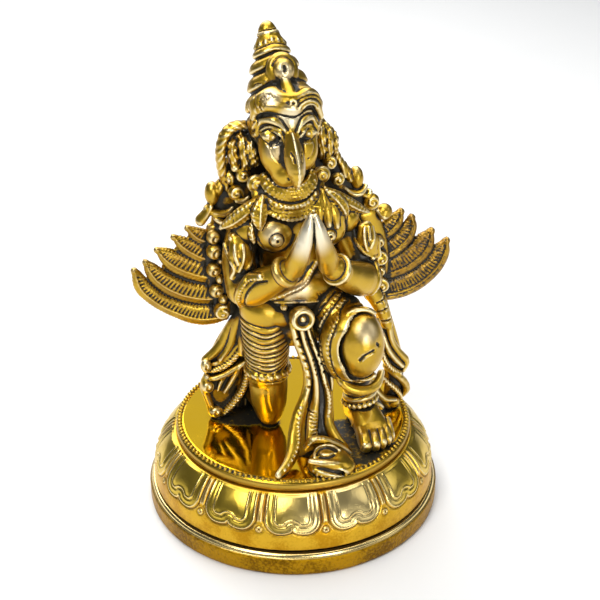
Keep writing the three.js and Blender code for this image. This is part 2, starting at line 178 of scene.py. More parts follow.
# An oval section carried along a smooth path, or along its points alone if raw. square squares it off.
# carve(share, across, deep) raises its skin by a length.
def sweep(clay, points, across, deep=None, blend=0.1, cut=False, facing=front, steps=9, carve=None,
          square=2.0, raw=False, margin=wideMargin):
    path = np.array(points, float) if raw else smoothPath(points, steps)
    steps = len(path)
    wide = spread(across, steps)
    thick = spread(across if deep is None else deep, steps)
    faces = np.tile(np.array(facing, float), (steps, 1))
    tangents = unitRows(np.gradient(path, axis=0))
    outward = unitRows(faces - tangents * (faces * tangents).sum(axis=1, keepdims=True))
    sides = np.cross(outward, tangents)
    reach = max(wide.max(), thick.max())

    # The nearest place on the path, for every place of the grid near enough to a step of it
    def nearestPlace(x, y, z):
        shape = np.broadcast_shapes(x.shape, y.shape, z.shape)
        best = np.full(shape, 1e6, np.float32)
        nearest = np.zeros(shape, np.int16)
        place = np.zeros(shape, np.float32)
        axes = (x.ravel(), y.ravel(), z.ravel())
        for i in range(steps - 1):
            a, b = path[i], path[i + 1]
            size = max(wide[i:i + 2].max(), thick[i:i + 2].max()) + 1.8
            part = []
            for k in range(3):
                low, high = min(a[k], b[k]) - size, max(a[k], b[k]) + size
                part.append(slice(np.searchsorted(axes[k], low), np.searchsorted(axes[k], high)))
            part = tuple(part)
            px, py, pz = x[part[0]] - a[0], y[:, part[1]] - a[1], z[:, :, part[2]] - a[2]
            run = b - a
            t = (px * run[0] + py * run[1] + pz * run[2]) / (float(run @ run) + 1e-9)
            np.clip(t, 0, 1, out=t)
            apart = (px - t * run[0]) ** 2 + (py - t * run[1]) ** 2 + (pz - t * run[2]) ** 2
            nearer = apart < best[part]
            best[part] = np.where(nearer, apart, best[part])
            nearest[part] = np.where(nearer, i, nearest[part])
            place[part] = np.where(nearer, t, place[part])
        at = np.nonzero(best < 1e5)
        return at, nearest[at], place[at]

    def distance(x, y, z):
        at, i, t = nearestPlace(x, y, z)

        def between(rows):
            rows = rows.astype(np.float32)
            return rows[i] + (rows[i + 1] - rows[i]) * t

        spot = (x[at[0], 0, 0], y[0, at[1], 0], z[0, 0, at[2]])
        away = [p - between(path[:, k]) for k, p in enumerate(spot)]
        s, q, w = (sum(e * between(axis[:, k]) for k, e in enumerate(away))
                   for axis in (sides, outward, tangents))
        wideHere, thickHere = between(wide), between(thick)
        endRound = np.minimum(wideHere, thickHere)
        length = np.sqrt(away[0] * away[0] + away[1] * away[1] + away[2] * away[2]) + tiny
        if square == 2.0:
            share = np.sqrt((s / wideHere) ** 2 + (q / thickHere) ** 2 + (w / endRound) ** 2) + tiny
        else:
            share = (np.abs(s / wideHere) ** square + np.abs(q / thickHere) ** square
                     + np.abs(w / endRound) ** square) ** (1 / square) + tiny
        value = length - length / share
        if carve is not None:
            value -= carve((i + t) / (steps - 1), s / wideHere, q / thickHere)
        found = np.full(np.broadcast_shapes(x.shape, y.shape, z.shape), far, np.float32)
        found[at] = value
        return found

    press(clay, path.min(axis=0) - reach, path.max(axis=0) + reach, distance, blend, cut, margin)


def ring(clay, centre, axis, radius, width, thickness, blend=0.1, cut=False, carve=None):
    centre, axis = np.array(centre, float), unit(axis)
    side = unit(np.cross(axis, (0, 1, 0) if abs(axis[1]) < 0.9 else (1, 0, 0)))
    other = np.cross(axis, side)
    reach = radius + max(width, thickness)

    def distance(x, y, z):
        x, y, z = x - centre[0], y - centre[1], z - centre[2]
        u, v, w = (x * line[0] + y * line[1] + z * line[2] for line in (side, other, axis))
        out = np.sqrt(u * u + v * v) - radius
        length = np.sqrt(out * out + w * w) + tiny
        share = np.sqrt((out / thickness) ** 2 + (w / width) ** 2) + tiny
        found = length - length / share
        return found if carve is None else found - carve(np.arctan2(v, u), w / width)

    press(clay, centre - reach, centre + reach, distance, blend, cut, wideMargin)


# Places on the clay's skin, looked for along a line from the front (-1) or from the back (+1)
def onSkin(clay, points, side=-1, spacing=0.5):
    flat = smoothPath(points, max(2, int(pathLength(points) / spacing) + 1))
    field, low = clay["field"], clay["low"]
    last = np.array(field.shape)[[0, 2]] - 1
    cell = np.clip(((flat - low[[0, 2]]) / grain).round().astype(int), 0, last)
    columns = field[cell[:, 0], :, cell[:, 1]]
    if side > 0:
        columns = columns[:, ::-1]
    solid = columns < 0
    hit = solid.any(axis=1)
    if hit.sum() < 2:
        return None
    row = np.maximum(solid.argmax(axis=1), 1)
    rows = np.arange(len(row))
    a, b = columns[rows, row - 1], columns[rows, row]
    depth = row - np.clip(b / np.minimum(b - a, -1e-4), 0, 1)
    if side > 0:
        depth = field.shape[1] - 1 - depth
    y = (low[1] + depth * grain)[hit]
    for _ in range(2):  # evens out the line where it crosses small steps
        y = np.concatenate([y[:1], (y[:-2] + 2 * y[1:-1] + y[2:]) / 4, y[-1:]])
    return np.stack([flat[hit, 0], y, flat[hit, 1]], axis=1)


def skinDepth(clay, x, z, reach):
    return onSkin(clay, [(x - reach, z), (x + reach, z)])[:, 1].mean()


# Lines chased into or laid onto the skin, given by places across and up
def groove(clay, lines, radius=0.4, depth=0.35, blend=0.15):
    for line in lines:
        path = onSkin(clay, line)
        if path is not None:
            path[:, 1] -= radius - depth
            sweep(clay, path, radius, blend=blend, cut=True, raw=True, margin=lineMargin)


def bead(clay, lines, radius=0.45, height=0.3, side=-1, blend=0.25):
    for line in lines:
        path = onSkin(clay, line, side)
        if path is not None:
            path[:, 1] += side * (height - radius)
            sweep(clay, path, radius, blend=blend, raw=True, margin=lineMargin)


def pearls(clay, lines, radius=0.6, pitch=1.3, height=0.45, side=-1):
    for line in lines:
        path = onSkin(clay, line, side, spacing=pitch)
        if path is not None:
            for place in path:
                ball(clay, place + [0, side * (height - radius), 0], radius, margin=lineMargin)


# Ripples between named grooves: a rounded ridge between each two, and a dark line at each
def ridged(places, height, depth, width):
    places = np.array(sorted(places), np.float32)

    def raised(value):
        i = np.clip(np.searchsorted(places, value) - 1, 0, len(places) - 2)
        t = np.clip((value - places[i]) / (places[i + 1] - places[i]), 0, 1)
        apart = np.minimum(np.abs(value - places[i]), np.abs(value - places[i + 1]))
        return height * 4 * t * (1 - t) - depth * bump(apart, 0, width)

    return raised


# Picks one part along an axis of the grid, and everything along the others
def along(axis, part):
    window = [slice(None)] * 3
    window[axis] = part
    return tuple(window)


def boxBlur(values, radius, passes):
    width = 2 * radius + 1
    for _ in range(passes):
        for k in range(3):
            pad = [(0, 0)] * 3
            pad[k] = (radius + 1, radius)
            total = np.cumsum(np.pad(values, pad, mode="edge"), axis=k, dtype=np.float32)
            values = (total[along(k, slice(width, None))] - total[along(k, slice(0, -width))]) / width
    return values


# A field's value and slope at places between its grid points
def sample(field, spot):
    base = np.clip(np.floor(spot).astype(int), 0, np.array(field.shape) - 2)
    x, y, z = base.T
    c = [[[field[x + i, y + j, z + k] for k in (0, 1)] for j in (0, 1)] for i in (0, 1)]
    wx, wy, wz = ((1 - f, f) for f in (spot - base).T)
    value = sum(c[i][j][k] * wx[i] * wy[j] * wz[k] for i, j, k in cubeCorners)
    slope = [sum((c[1][j][k] - c[0][j][k]) * wy[j] * wz[k] for j in (0, 1) for k in (0, 1)),
             sum((c[i][1][k] - c[i][0][k]) * wx[i] * wz[k] for i in (0, 1) for k in (0, 1)),
             sum((c[i][j][1] - c[i][j][0]) * wx[i] * wy[j] for i in (0, 1) for j in (0, 1))]
    return value, np.stack(slope, axis=1)


# The skin of the clay: one vertex in each cell that the surface passes, pulled onto the surface
def skin(clay):
    field = clay["field"]
    for k in range(3):  # an empty border closes the skin
        for end in (0, -1):
            edge = along(k, end)
            field[edge] = np.maximum(field[edge], 0.1 * grain)
    inside = field < 0
    shape = tuple(n - 1 for n in field.shape)
    total = np.zeros(shape, np.uint8)
    for i, j, k in cubeCorners:
        total += inside[i:i + shape[0], j:j + shape[1], k:k + shape[2]]
    active = (total > 0) & (total < 8)
    cells = np.argwhere(active)
    index = np.full(shape, -1, np.int32)
    index[active] = np.arange(len(cells), dtype=np.int32)
    value = {c: field[cells[:, 0] + c[0], cells[:, 1] + c[1], cells[:, 2] + c[2]] for c in cubeCorners}
    spot = np.zeros((len(cells), 3))
    hits = np.zeros(len(cells))
    for a in cubeCorners:
        for k in range(3):
            if a[k]:
                continue
            b = tuple(1 if n == k else a[n] for n in range(3))
            crosses = (value[a] < 0) != (value[b] < 0)
            at = np.tile(np.array(a, float), (len(cells), 1))
            at[:, k] = np.where(crosses, value[a] / np.where(crosses, value[a] - value[b], 1), 0)
            spot += at * crosses[:, None]
            hits += crosses
    spot = spot / hits[:, None] + cells
    for _ in range(2):
        found, slope = sample(field, spot)
        size = (slope ** 2).sum(axis=1) + 1e-6
        spot -= np.clip(found / size, -0.5, 0.5)[:, None] * slope
    quads = []
    for k, m, n in ((0, 1, 2), (1, 2, 0), (2, 0, 1)):
        near = inside[along(k, slice(0, -1))]
        crosses = near != inside[along(k, slice(1, None))]
        middle = [slice(1, -1)] * 3
        middle[k] = slice(None)
        core = np.zeros(crosses.shape, bool)
        core[tuple(middle)] = crosses[tuple(middle)]
        at = np.argwhere(core)
        around = []
        for stepM, stepN in ((0, 0), (1, 0), (1, 1), (0, 1)):
            cell = at.copy()
            cell[:, m] -= stepM
            cell[:, n] -= stepN
            around.append(index[cell[:, 0], cell[:, 1], cell[:, 2]])
        faces = np.stack(around, axis=1)
        entering = ~near[core]
        faces[entering] = faces[entering][:, ::-1]
        quads.append(faces)
    return spot, np.concatenate(quads)


def newMesh(name, vertices, quads, values=None, caps=()):
    mesh = bpy.data.meshes.new(name)
    mesh.vertices.add(len(vertices))
    mesh.vertices.foreach_set("co", np.ascontiguousarray(vertices, np.float32).ravel())
    corners = np.concatenate([quads.ravel(), *caps]).astype(np.int32)
    capStarts = quads.size + np.cumsum([0] + [len(cap) for cap in caps])[:-1]
    starts = np.concatenate([np.arange(0, quads.size, 4), capStarts])
    mesh.loops.add(len(corners))
    mesh.loops.foreach_set("vertex_index", corners)
    mesh.polygons.add(len(starts))
    mesh.polygons.foreach_set("loop_start", starts.astype(np.int32))
    mesh.polygons.foreach_set("use_smooth", np.ones(len(starts), bool))
    mesh.update(calc_edges=True)
    for title, numbers in (values or {}).items():
        mesh.attributes.new(title, "FLOAT", "POINT").data.foreach_set("value", numbers.astype(np.float32))
    piece = bpy.data.objects.new(name, mesh)
    bpy.context.scene.collection.objects.link(piece)
    return piece


# Head: skull, beaked face, tiara and the tall ridged crown

headSizes = {
    "crownAxis": [(-2.3, 0, 91), (-3.5, 4.5, 102.4), (-4.3, 7.7, 110.4)],
    "crownHalfWidths": [9.4, 9.2, 8.5, 7.6, 6.8, 6, 5.2, 4.5, 3.6, 2.8],
    "crownGrooves": [88, 91.5, 94.9, 98.3, 101.7, 105.2, 112.6, 118],
    "crownDroop": 0.24,
    "crownRidge": 0.42,
    "crownGroove": 0.95,
    "eyes": [(-7.3, 89.4), (1.8, 89.7)],
}


def crownCarving(sizes):
    ridges = ridged(sizes["crownGrooves"], sizes["crownRidge"], sizes["crownGroove"], 0.5)
    foot, tip = sizes["crownAxis"][0][2], sizes["crownAxis"][-1][2]
    widths = np.array(sizes["crownHalfWidths"], np.float32)

    def raised(share, across, deep):
        here = np.interp(share, np.linspace(0, 1, len(widths)), widths)
        height = foot + share * (tip - foot)
        level = height + sizes["crownDroop"] * np.abs(across) * here
        angle = np.arctan2(across, deep)
        band = bump(level, 109.2, 0.7) * 0.26 * np.cos(14 * angle) - 0.42 * bump(level, 107.9, 0.38)
        hatching = 0.1 * np.cos(34 * angle) * (level < 98.1)
        return ridges(level) + band + hatching

    return raised


def headClay(sizes=headSizes):
    clay = newClay((-15.6, -19.8, 70.8), (11.4, 15, 117))
    widths = sizes["crownHalfWidths"]
    sweep(clay, sizes["crownAxis"], widths, widths, steps=14, carve=crownCarving(sizes), blend=0.4)
    tip = sizes["crownAxis"][-1]
    knob = (tip[0] - 0.2, tip[1] + 0.4)
    ball(clay, (*knob, tip[2] + 0.2), (2.55, 2.55, 3.9))
    for height, radius in ((1.4, 2.4), (0.2, 2.6)):
        ring(clay, (*knob, tip[2] + height), (-0.1, 0.37, 0.93), radius, 0.2, 0.3, blend=0.15, cut=True)
    skull = [(-3.7, -7.2, 78.2), (-3.3, -6.2, 80.4), (-2.8, -5, 84), (-2.4, -3.6, 88.4), (-2.2, -1.7, 94)]
    sweep(clay, skull, [2.8, 5.6, 7.3, 8.1, 8.6], [2.9, 5.2, 6.6, 7.5, 8.2], steps=14, blend=0.6)
    ball(clay, (-3.8, -8.6, 79.2), (3.6, 3.6, 3.6), blend=2.4)  # chin
    for x, wide in ((-7, 3), (1.7, 2.9)):  # cheeks
        ball(clay, (x, -7.6, 84.2), (wide, 3, 4.6), blend=2.2)
    ball(clay, (-2.7, -7.3, 94.8), (6.2, 4.1, 4), blend=0.8)  # forehead
    ball(clay, (-2.7, -7.6, 91.4), (4.2, 4.4, 5.6), blend=0.8)
    faceLines(clay, sizes)
    crestAndTiara(clay)
    return clay


def faceLines(clay, sizes):
    browLeft = [(-10.9, 90.3), (-10, 92.3), (-8, 93.7), (-6.2, 93.3), (-4.9, 91.6), (-3.9, 89.9)]
    browRight = [(4.6, 90.9), (3.2, 93.2), (1.6, 93.9), (0, 93), (-0.9, 91.6), (-1.6, 90.1)]
    bead(clay, [browLeft, browRight], radius=0.95, height=0.7, blend=0.35)
    innerLeft = [(-10.8, 88.4), (-9.7, 90.4), (-7.8, 91.7), (-6, 91.4), (-4.4, 89.4)]
    innerRight = [(4.4, 89), (3.4, 91), (1.8, 91.9), (0.3, 91.4), (-0.8, 89.8)]
    bead(clay, [innerLeft, innerRight], radius=0.8, height=0.5, blend=0.2)
    lids = [(-2.7, 0.2), (-1.4, 1.2), (0, 1.55), (1.4, 1.1), (2.6, -0.3), (1.2, -1.2), (0, -1.5),
            (-1.5, -1.1), (-2.7, 0.2)]
    for eyeX, eyeZ in sizes["eyes"]:
        y = skinDepth(clay, eyeX, eyeZ, 0.3)
        ball(clay, (eyeX, y - 0.1, eyeZ), (2.8, 1.2, 1.75), blend=0.3, cut=True)
        ball(clay, (eyeX, y + 1.5, eyeZ), (2.6, 1.9, 1.5), blend=0.05)
        groove(clay, [oval((eyeX + 0.1, eyeZ), (0.85, 0.8), count=12)], 0.22, 0.22)
        almond = [(eyeX + x, eyeZ + z) for x, z in lids]
        bead(clay, [almond], radius=0.34, height=0.26, blend=0.05)
        groove(clay, [[(x, z - 0.5) for x, z in almond[4:]]], 0.3, 0.4)
        groove(clay, [[(x, z + 0.55) for x, z in almond[:5]]], 0.26, 0.35)
    groove(clay, [[(-11.4, 89.6), (-11, 91.6), (-9.8, 93.8), (-7.9, 95), (-5.8, 94.6), (-4.4, 92.6),
                   (-3.2, 90.6)],
                  [(5, 91.6), (3.4, 94.3), (1.7, 95.1), (-0.2, 94.4), (-1.2, 92.9), (-2, 91.2)]], 0.38, 0.42)
    groove(clay, [[(-10.9, 89.2), (-9.9, 91.3), (-7.9, 92.6), (-6, 92.2), (-4.6, 90.6)],
                  [(4.5, 89.9), (3.3, 92), (1.7, 92.8), (0, 92.1), (-1, 90.6)]], 0.34, 0.4)
    beak = [(-3.2, -9.6, 91.4), (-3.1, -12, 88.6), (-2.9, -14.4, 85), (-2.8, -16, 81.8), (-2.8, -16.2, 79.4),
            (-2.7, -15.2, 77.6)]
    sweep(clay, beak, [0.9, 2, 2.7, 2.3, 1.3, 0.4], [1.4, 3.2, 3.8, 3.4, 2.4, 0.7], steps=14, square=1.6,
          carve=lambda share, s, q: 0.4 * bump(s, 0, 0.2) * (q > 0) * (share > 0.12), blend=0.7)
    groove(clay, [[(-5.2, 91.2), (-5.2, 88.6), (-5.4, 86.2), (-5.7, 84.4), (-5.3, 82.4), (-4.7, 80.4),
                   (-3.7, 78.4)],
                  [(-0.6, 91), (0, 88.6), (0.1, 86.2), (0.1, 84.4), (-0.3, 82.2), (-0.9, 80), (-1.9, 78)]],
           0.34, 0.4)
    groove(clay, [[(-4.4, 87.2), (-3.9, 86.4), (-3.7, 85.2)], [(-1.4, 87.2), (-1.8, 86.4), (-2, 85.4)]], 0.36,
           0.4)
    groove(clay, [[(-8, 87.5), (-8, 86.2), (-7.3, 84.4), (-6, 83.2)],
                  [(3.6, 87.6), (3.7, 86), (3, 84.2), (1.6, 83.2)]], 0.4, 0.28, blend=0.35)


# How far forward the forehead reaches at a place across
def headFront(x):
    return -1.5 - 8.5 * math.sqrt(max(0.02, 1 - ((x + 2.4) / 9.3) ** 2))


def crestAndTiara(clay):
    edge = [(-11.2, 93.4), (-10.6, 95.6), (-9, 97), (-6.8, 97.3), (-4.4, 96.9), (-2.3, 96.5), (-0.4, 97),
            (1.3, 97.9), (3.2, 97.4), (4.8, 95.6), (6, 92.8)]
    band = [(x, headFront(x), z) for x, z in edge]
    sweep(clay, band, [0.9, 1.4, 1.5, 1.4, 1.3, 1.1, 1.1, 1.1, 1], 1.5, steps=22)
    upper = [(-10.8, 96.6), (-9.4, 98.8), (-7.4, 99.6), (-5, 99.3), (-2.6, 98.9), (-0.4, 99), (1.6, 99.8),
             (3.8, 98.8), (5.4, 96)]
    sweep(clay, [(x, headFront(x) + 1, z) for x, z in upper], 1.4, 1.5, steps=20, blend=1)
    ball(clay, (-6.4, -6.4, 98.6), (3.8, 3, 2.9), lean=-0.4, blend=0.5)
    ball(clay, (1.4, -6, 98.2), (3.2, 2.8, 2.8), lean=-0.4, blend=0.5)
    groove(clay, [[(x, z - 1.7) for x, z in edge[1:10]]], 0.34, 0.5)
    groove(clay, [oval((2, 95.6), (radius, radius * 0.86), 15, 150, 12) for radius in (1.7, 2.7, 3.7, 4.7)],
           0.28, 0.4)
    groove(clay, [oval((-7.4, 97.6), (radius, radius), 100, 215, 10) for radius in (2.9, 3.8)], 0.26, 0.35)
    hood = (-2.9, 103.8)
    ball(clay, (hood[0], -1.4, hood[1]), (4.2, 2.3, 4.9), lean=-0.36, blend=0.15)
    ball(clay, (hood[0] + 0.1, -3.1, hood[1] + 0.9), (2.6, 1.7, 2.8), lean=-0.36)
    groove(clay, [oval((hood[0], hood[1] + 0.7), (2.9, 3.2), 20, 160, 16)], 0.28, 0.35)
    groove(clay, [[(hood[0] - 0.1, hood[1] + 2.1), (hood[0], hood[1] + 0.9)]], 0.5, 0.7)
    ball(clay, (-3, -4.4, 99), (3.4, 3.4, 2.6), blend=0.8)
    sweep(clay, [(-2.9, -3.8, 102.8), (-2.8, -6.2, 101), (-2.5, -8.4, 99.4), (-2.3, -9.4, 98.2)],
          [1.2, 1.5, 1.7, 1.3], 1.2, blend=0.25)
    groove(clay, [[(-5.2, 101.6), (-4.9, 101)], [(-0.4, 102), (-0.2, 101.6)]], 0.55, 0.7)
    ring(clay, (-2.3, skinDepth(clay, -2.3, 98.2, 0.2) - 0.1, 98.2), (0, -1, 0.25), 0.75, 0.4, 0.35,
         blend=0.05)
    hatched = smoothPath([(-10.9, 96.2), (-9.4, 99.2), (-7.2, 100)], 10)
    groove(clay, [[(x, z + 0.6), (x + 0.7, z - 0.6)] for x, z in hatched], 0.2, 0.22)


# Hair and the beaded arch between head and wings, in front of the back mantle

hairSizes = {
    "rightLocks": [[(-15.2, 1.4, 86.8), (-16.1, 0.6, 85), (-16, 0.2, 82.4), (-15.3, 0.4, 79.6)],
                   [(-13.6, 1.2, 87.2), (-13.3, 0, 85.2), (-13, -0.4, 82), (-12.5, 0.2, 78.6)],
                   [(-11.4, 0.6, 86.2), (-11.4, -1, 84.2), (-10.8, -1, 82.2), (-10.4, 0, 79.6)]],
    "leftLocks": [[(7.2, 1, 89), (7.4, 0, 86.4), (7.9, -0.2, 83.4), (8.2, 0.4, 79.8)],
                  [(9, 1, 87.6), (9.6, 0.2, 85.2), (9.6, 0, 82), (9.8, 0.6, 79.6)],
                  [(10.6, 1.6, 86), (11.3, 1, 83.6), (11.4, 1, 80.6)]],
    "rightArch": [(-11, 1.6, 89.2), (-14, 0.6, 89.9), (-16.2, 0.4, 89.3), (-18, 0.4, 87.3),
                  (-18.9, 0.4, 84.4), (-19.1, 0.6, 81.4), (-18.7, 1.4, 78), (-18, 2.4, 75), (-16.6, 3, 71)],
    "leftArch": [(6.6, 2.6, 90.2), (9.6, 3, 87.2), (11.2, 3, 84), (12, 3, 80.6), (13.4, 3, 77.4),
                 (15.4, 3, 74.6), (16.6, 3, 71.6)],
}


def hairClay(sizes=hairSizes):
    clay = newClay((-28.8, -9, 30), (31.8, 12, 93.6))
    twist = lambda share, s, q: (0.15 * np.cos(2 * np.pi * (3.6 * share + 0.35 * s))
                                 - 0.36 * bump(np.abs(s - 0.16 * np.sin(9 * share)), 0.28, 0.15))
    for lock in sizes["rightLocks"] + sizes["leftLocks"]:
        sweep(clay, lock, [1.3, 1.6, 1.5, 1.3], [1.4, 2.2, 2.2, 1.8], steps=10, carve=twist)
    corded = lambda share, s, q: 0.11 * np.cos(2 * np.pi * (12 * share + 0.7 * s))
    sweep(clay, sizes["rightArch"], [1.1, 1.3, 1.3, 1.2], [1.8, 2.2, 2.1, 1.7], steps=22, carve=corded)
    sweep(clay, sizes["leftArch"], [1, 1.15, 1.2, 1.2], [1.6, 1.9, 1.9, 1.7], steps=20, carve=corded)
    hairBeads(clay)
    return clay


def rosette(clay, x, y, z, radius, deep=1.2):
    ball(clay, (x, y, z), (radius, deep, radius))
    face = y - deep
    ring(clay, (x, face + 0.35, z), front, radius * 0.42, 0.4, 0.38, blend=0.05)
    ball(clay, (x, face - 0.05, z), (0.42, 0.5, 0.42), blend=0.05)
    groove(clay, [oval((x, z), (radius * 0.72, radius * 0.72), count=16)], 0.2, 0.28)


def curl(clay, x, y, z, radius, start=0.0, turns=1.3, direction=1):
    ball(clay, (x, y + 0.3, z), (radius, 1.6, radius))
    angles = np.radians(start) + direction * np.linspace(0, turns * 2 * np.pi, int(12 * turns) + 2)
    radii = np.linspace(radius * 0.92, radius * 0.1, len(angles))
    line = np.stack([x + radii * np.cos(angles), z + radii * np.sin(angles)], axis=1)
    bead(clay, [line], radius=0.42, height=0.42, blend=0.08)


def hairBeads(clay):
    ball(clay, (-15.6, -0.8, 78.9), (1.15, 1.3, 1.15), blend=0.05)
    ball(clay, (-16.8, 1, 75.6), (1.3, 2, 2), turn=0.2, blend=0.05)
    groove(clay, [[(-17.4, 76.9), (-16.6, 75.4), (-16.9, 74.2)]], 0.25, 0.35)
    curl(clay, -13.3, 0, 76.3, 2.1, start=90, turns=1.4)
    curl(clay, -15.6, -1.2, 72, 2.1, start=300, turns=1.5)
    sweep(clay, [(-15.4, -2, 70.2), (-13.8, -2.4, 70), (-12.4, -2.2, 71)], [0.8, 0.8, 0.4])
    ball(clay, (-19.4, 3, 72.2), (1.4, 1.8, 2.6), turn=-0.3)
    rosette(clay, -10.7, -4.2, 75.3, 2.5, 1.5)
    rosette(clay, 6.9, -4.2, 76.2, 2.4, 1.5)
    curl(clay, 10, -1, 78.1, 1.9, start=120, turns=1.4, direction=-1)
    curl(clay, 12.2, -1, 73.2, 1.8, start=60, turns=1.4, direction=-1)
    sweep(clay, [(13.2, 2, 78), (14.4, 1.8, 75.6), (15, 1.6, 72.8)], [0.7, 0.9, 0.7])
    for x, z, size in ((-21.2, 70.7, 2), (18.7, 71.3, 2.1)):
        ball(clay, (x, 3.4, z), (size, 2.5, size * 1.65), blend=0.2)
    sweep(clay, [(-22.8, 3, 66.6), (-20.6, 2.4, 65.4), (-18, 2.2, 65.2), (-16, 2.4, 66.6)],
          [1, 1.2, 1.2, 0.5], [1.8, 1.9, 1.7, 1], blend=0.15)
    sweep(clay, [(-24.6, 3, 63.4), (-23, 2.6, 65.6), (-22, 2.8, 67.4)], [1.5, 1.2, 0.9], 1.9, blend=0.15)
    ball(clay, (-19.4, 1.4, 63.2), (1, 1.6, 2.6), turn=0.95)
    sweep(clay, [(15.4, 3, 69), (17.4, 2.2, 67.6), (19.6, 2.2, 67.6), (21.2, 3, 69)], [0.6, 1.1, 1.1, 0.6],
          [1.4, 1.9, 1.9, 1.4], blend=0.15)
    curl(clay, 22.9, 1.8, 64.6, 2.3, start=200, turns=1.5)
    sweep(clay, [(20.4, 2.6, 67), (21.6, 2.6, 66.4), (22.4, 2.8, 67.2)], 0.9, 1.6)
    ball(clay, (26.9, 2.6, 60.8), (2.3, 2.2, 2.4), blend=0.2)
    sweep(clay, [(24.6, 1.6, 61.6), (26.4, 1, 60), (28.4, 1.4, 60.4)], [0.5, 0.9, 0.5])


# Beads and scrolls at the roots of the wings
def wingBeads(clay):
    notched = [(-21.6, 59, 2), (-21.5, 54.8, 2.3), (-21.9, 49.3, 2.1), (-21.4, 42.8, 2), (-20, 36.6, 2.4)]
    for x, z, radius in notched:
        ball(clay, (x, 1, z), radius)
        groove(clay, [oval((x + 0.5, z - 0.3), (radius * 0.45, radius * 0.5), 60, 330, 10)], 0.26, 0.4)
    for x, z, wide in ((-20, 52, 1.2), (-20.4, 46.2, 1.1), (-19.6, 39.6, 1.3)):
        ball(clay, (x, 1.6, z), (wide, 1.7, 1.7), blend=0.15)
    for i in range(9):
        ball(clay, (-17.8 - 0.4 * math.cos(i * 2.1), 2.2, 38 + i * 2.5), (0.9, 1.4, 1.1))
    curl(clay, -20, 0.8, 36.4, 2.3, start=60, turns=1.6)
    for x, z, radius in ((25.6, 47.6, 2.2), (26.2, 39.2, 2.2), (25, 52.6, 1.8), (25.6, 43.4, 1.7)):
        ball(clay, (x, 1, z), radius)
        groove(clay, [oval((x - 0.4, z - 0.3), (radius * 0.5, radius * 0.5), 210, 480, 10)], 0.26, 0.4)
    curl(clay, 26, 0.6, 39, 2.3, start=100, turns=1.5, direction=-1)
    curl(clay, 25.4, 0.6, 47.6, 2.2, start=100, turns=1.5, direction=-1)


# Body, arms with hands pressed together, collar and leaf cape

bodySizes = {
    "torso": [(0.5, 0, 30), (0.6, -1, 38), (0.4, -1, 46), (0, -1.5, 56), (-0.6, -1.5, 64), (-1.6, -2, 71),
              (-2.2, -2.5, 80)],
    "torsoAcross": [10, 10.6, 8.8, 10.6, 13, 8.5, 4.5],
    "torsoDeep": [8, 8.2, 6.6, 7.4, 7.8, 6.5, 5],
    "breasts": [(-6.7, -6.7, 62.2), (7.7, -6.6, 62)],
    "breastRadii": (5.3, 4.4, 5.4),
    "leaves": [  # path, half widths, ribs, saw edge, depth
        ([(-10.2, -6.6, 72.8), (-13.4, -7, 69.6), (-16.8, -6, 66.6), (-20.4, -3.6, 63.6)],
         [0.5, 1.7, 2.2, 2, 0.5], 11, 0.2, 1.7),
        ([(-10, -7.6, 73), (-11, -9.2, 70.2), (-11.3, -9.8, 67.6), (-11, -9.6, 64.4)],
         [0.6, 1.8, 2.4, 1.8, 0.4], 7, 0, 1.5),
        ([(-12.6, -6.6, 66), (-13, -7.8, 63), (-12.4, -8, 60)], [0.4, 0.9, 0.9, 0.3], 5, 0, 1),
        ([(7, -6.8, 73.4), (11.4, -7, 70.2), (15.6, -5.6, 67), (20.2, -3.4, 63.8)], [0.5, 1.5, 1.7, 1.4, 0.4],
         12, 0.15, 1.5),
        ([(7.2, -8, 73.2), (9.8, -9, 70.6), (11.6, -8.8, 67.8), (12.6, -8, 64.8)], [0.5, 1.7, 2, 1.5, 0.4], 8,
         0.1, 1.5),
    ],
    "capeFolds": [
        [(5.8, -7, 73), (5, -9.4, 69.6), (4.8, -10.6, 65.6)],
        [(6.4, -7.4, 73), (6.8, -9.8, 69), (7.2, -11, 64.4)],
        [(7, -7.6, 72.6), (8.6, -9.6, 68.4), (9.6, -10.6, 63.6)],
        [(7.4, -7.4, 72), (10, -8.8, 67), (11.6, -9, 62.2)],
    ],
}


def torsoClay(sizes=bodySizes):
    clay = newClay((-24.6, -25.2, 27), (27, 9, 78.6))
    sweep(clay, sizes["torso"], sizes["torsoAcross"], sizes["torsoDeep"], steps=16, blend=0.4)
    ball(clay, (0.6, -5, 44.2), (9.4, 5.8, 6.6), blend=1.5)
    for x, y, z in sizes["breasts"]:
        ball(clay, (x, y, z), sizes["breastRadii"], blend=0.4)
        groove(clay, [oval((x, z), (4.8, 4.9), 185, 355, 20)], 0.5, 0.45)
        x, z = x - 0.2, z - 0.7
        y = skinDepth(clay, x, z, 0.3)
        groove(clay, [oval((x, z), (2.1, 2.1), count=18)], 0.3, 0.22)
        ball(clay, (x, y + 0.2, z), (1.75, 1.3, 1.8))
        ball(clay, (x + 0.1, y - 1.1, z + 0.1), (0.45, 0.7, 0.45), blend=0.05, cut=True)
    beltAndThread(clay)
    collar(clay)
    cape(clay, sizes)
    return clay


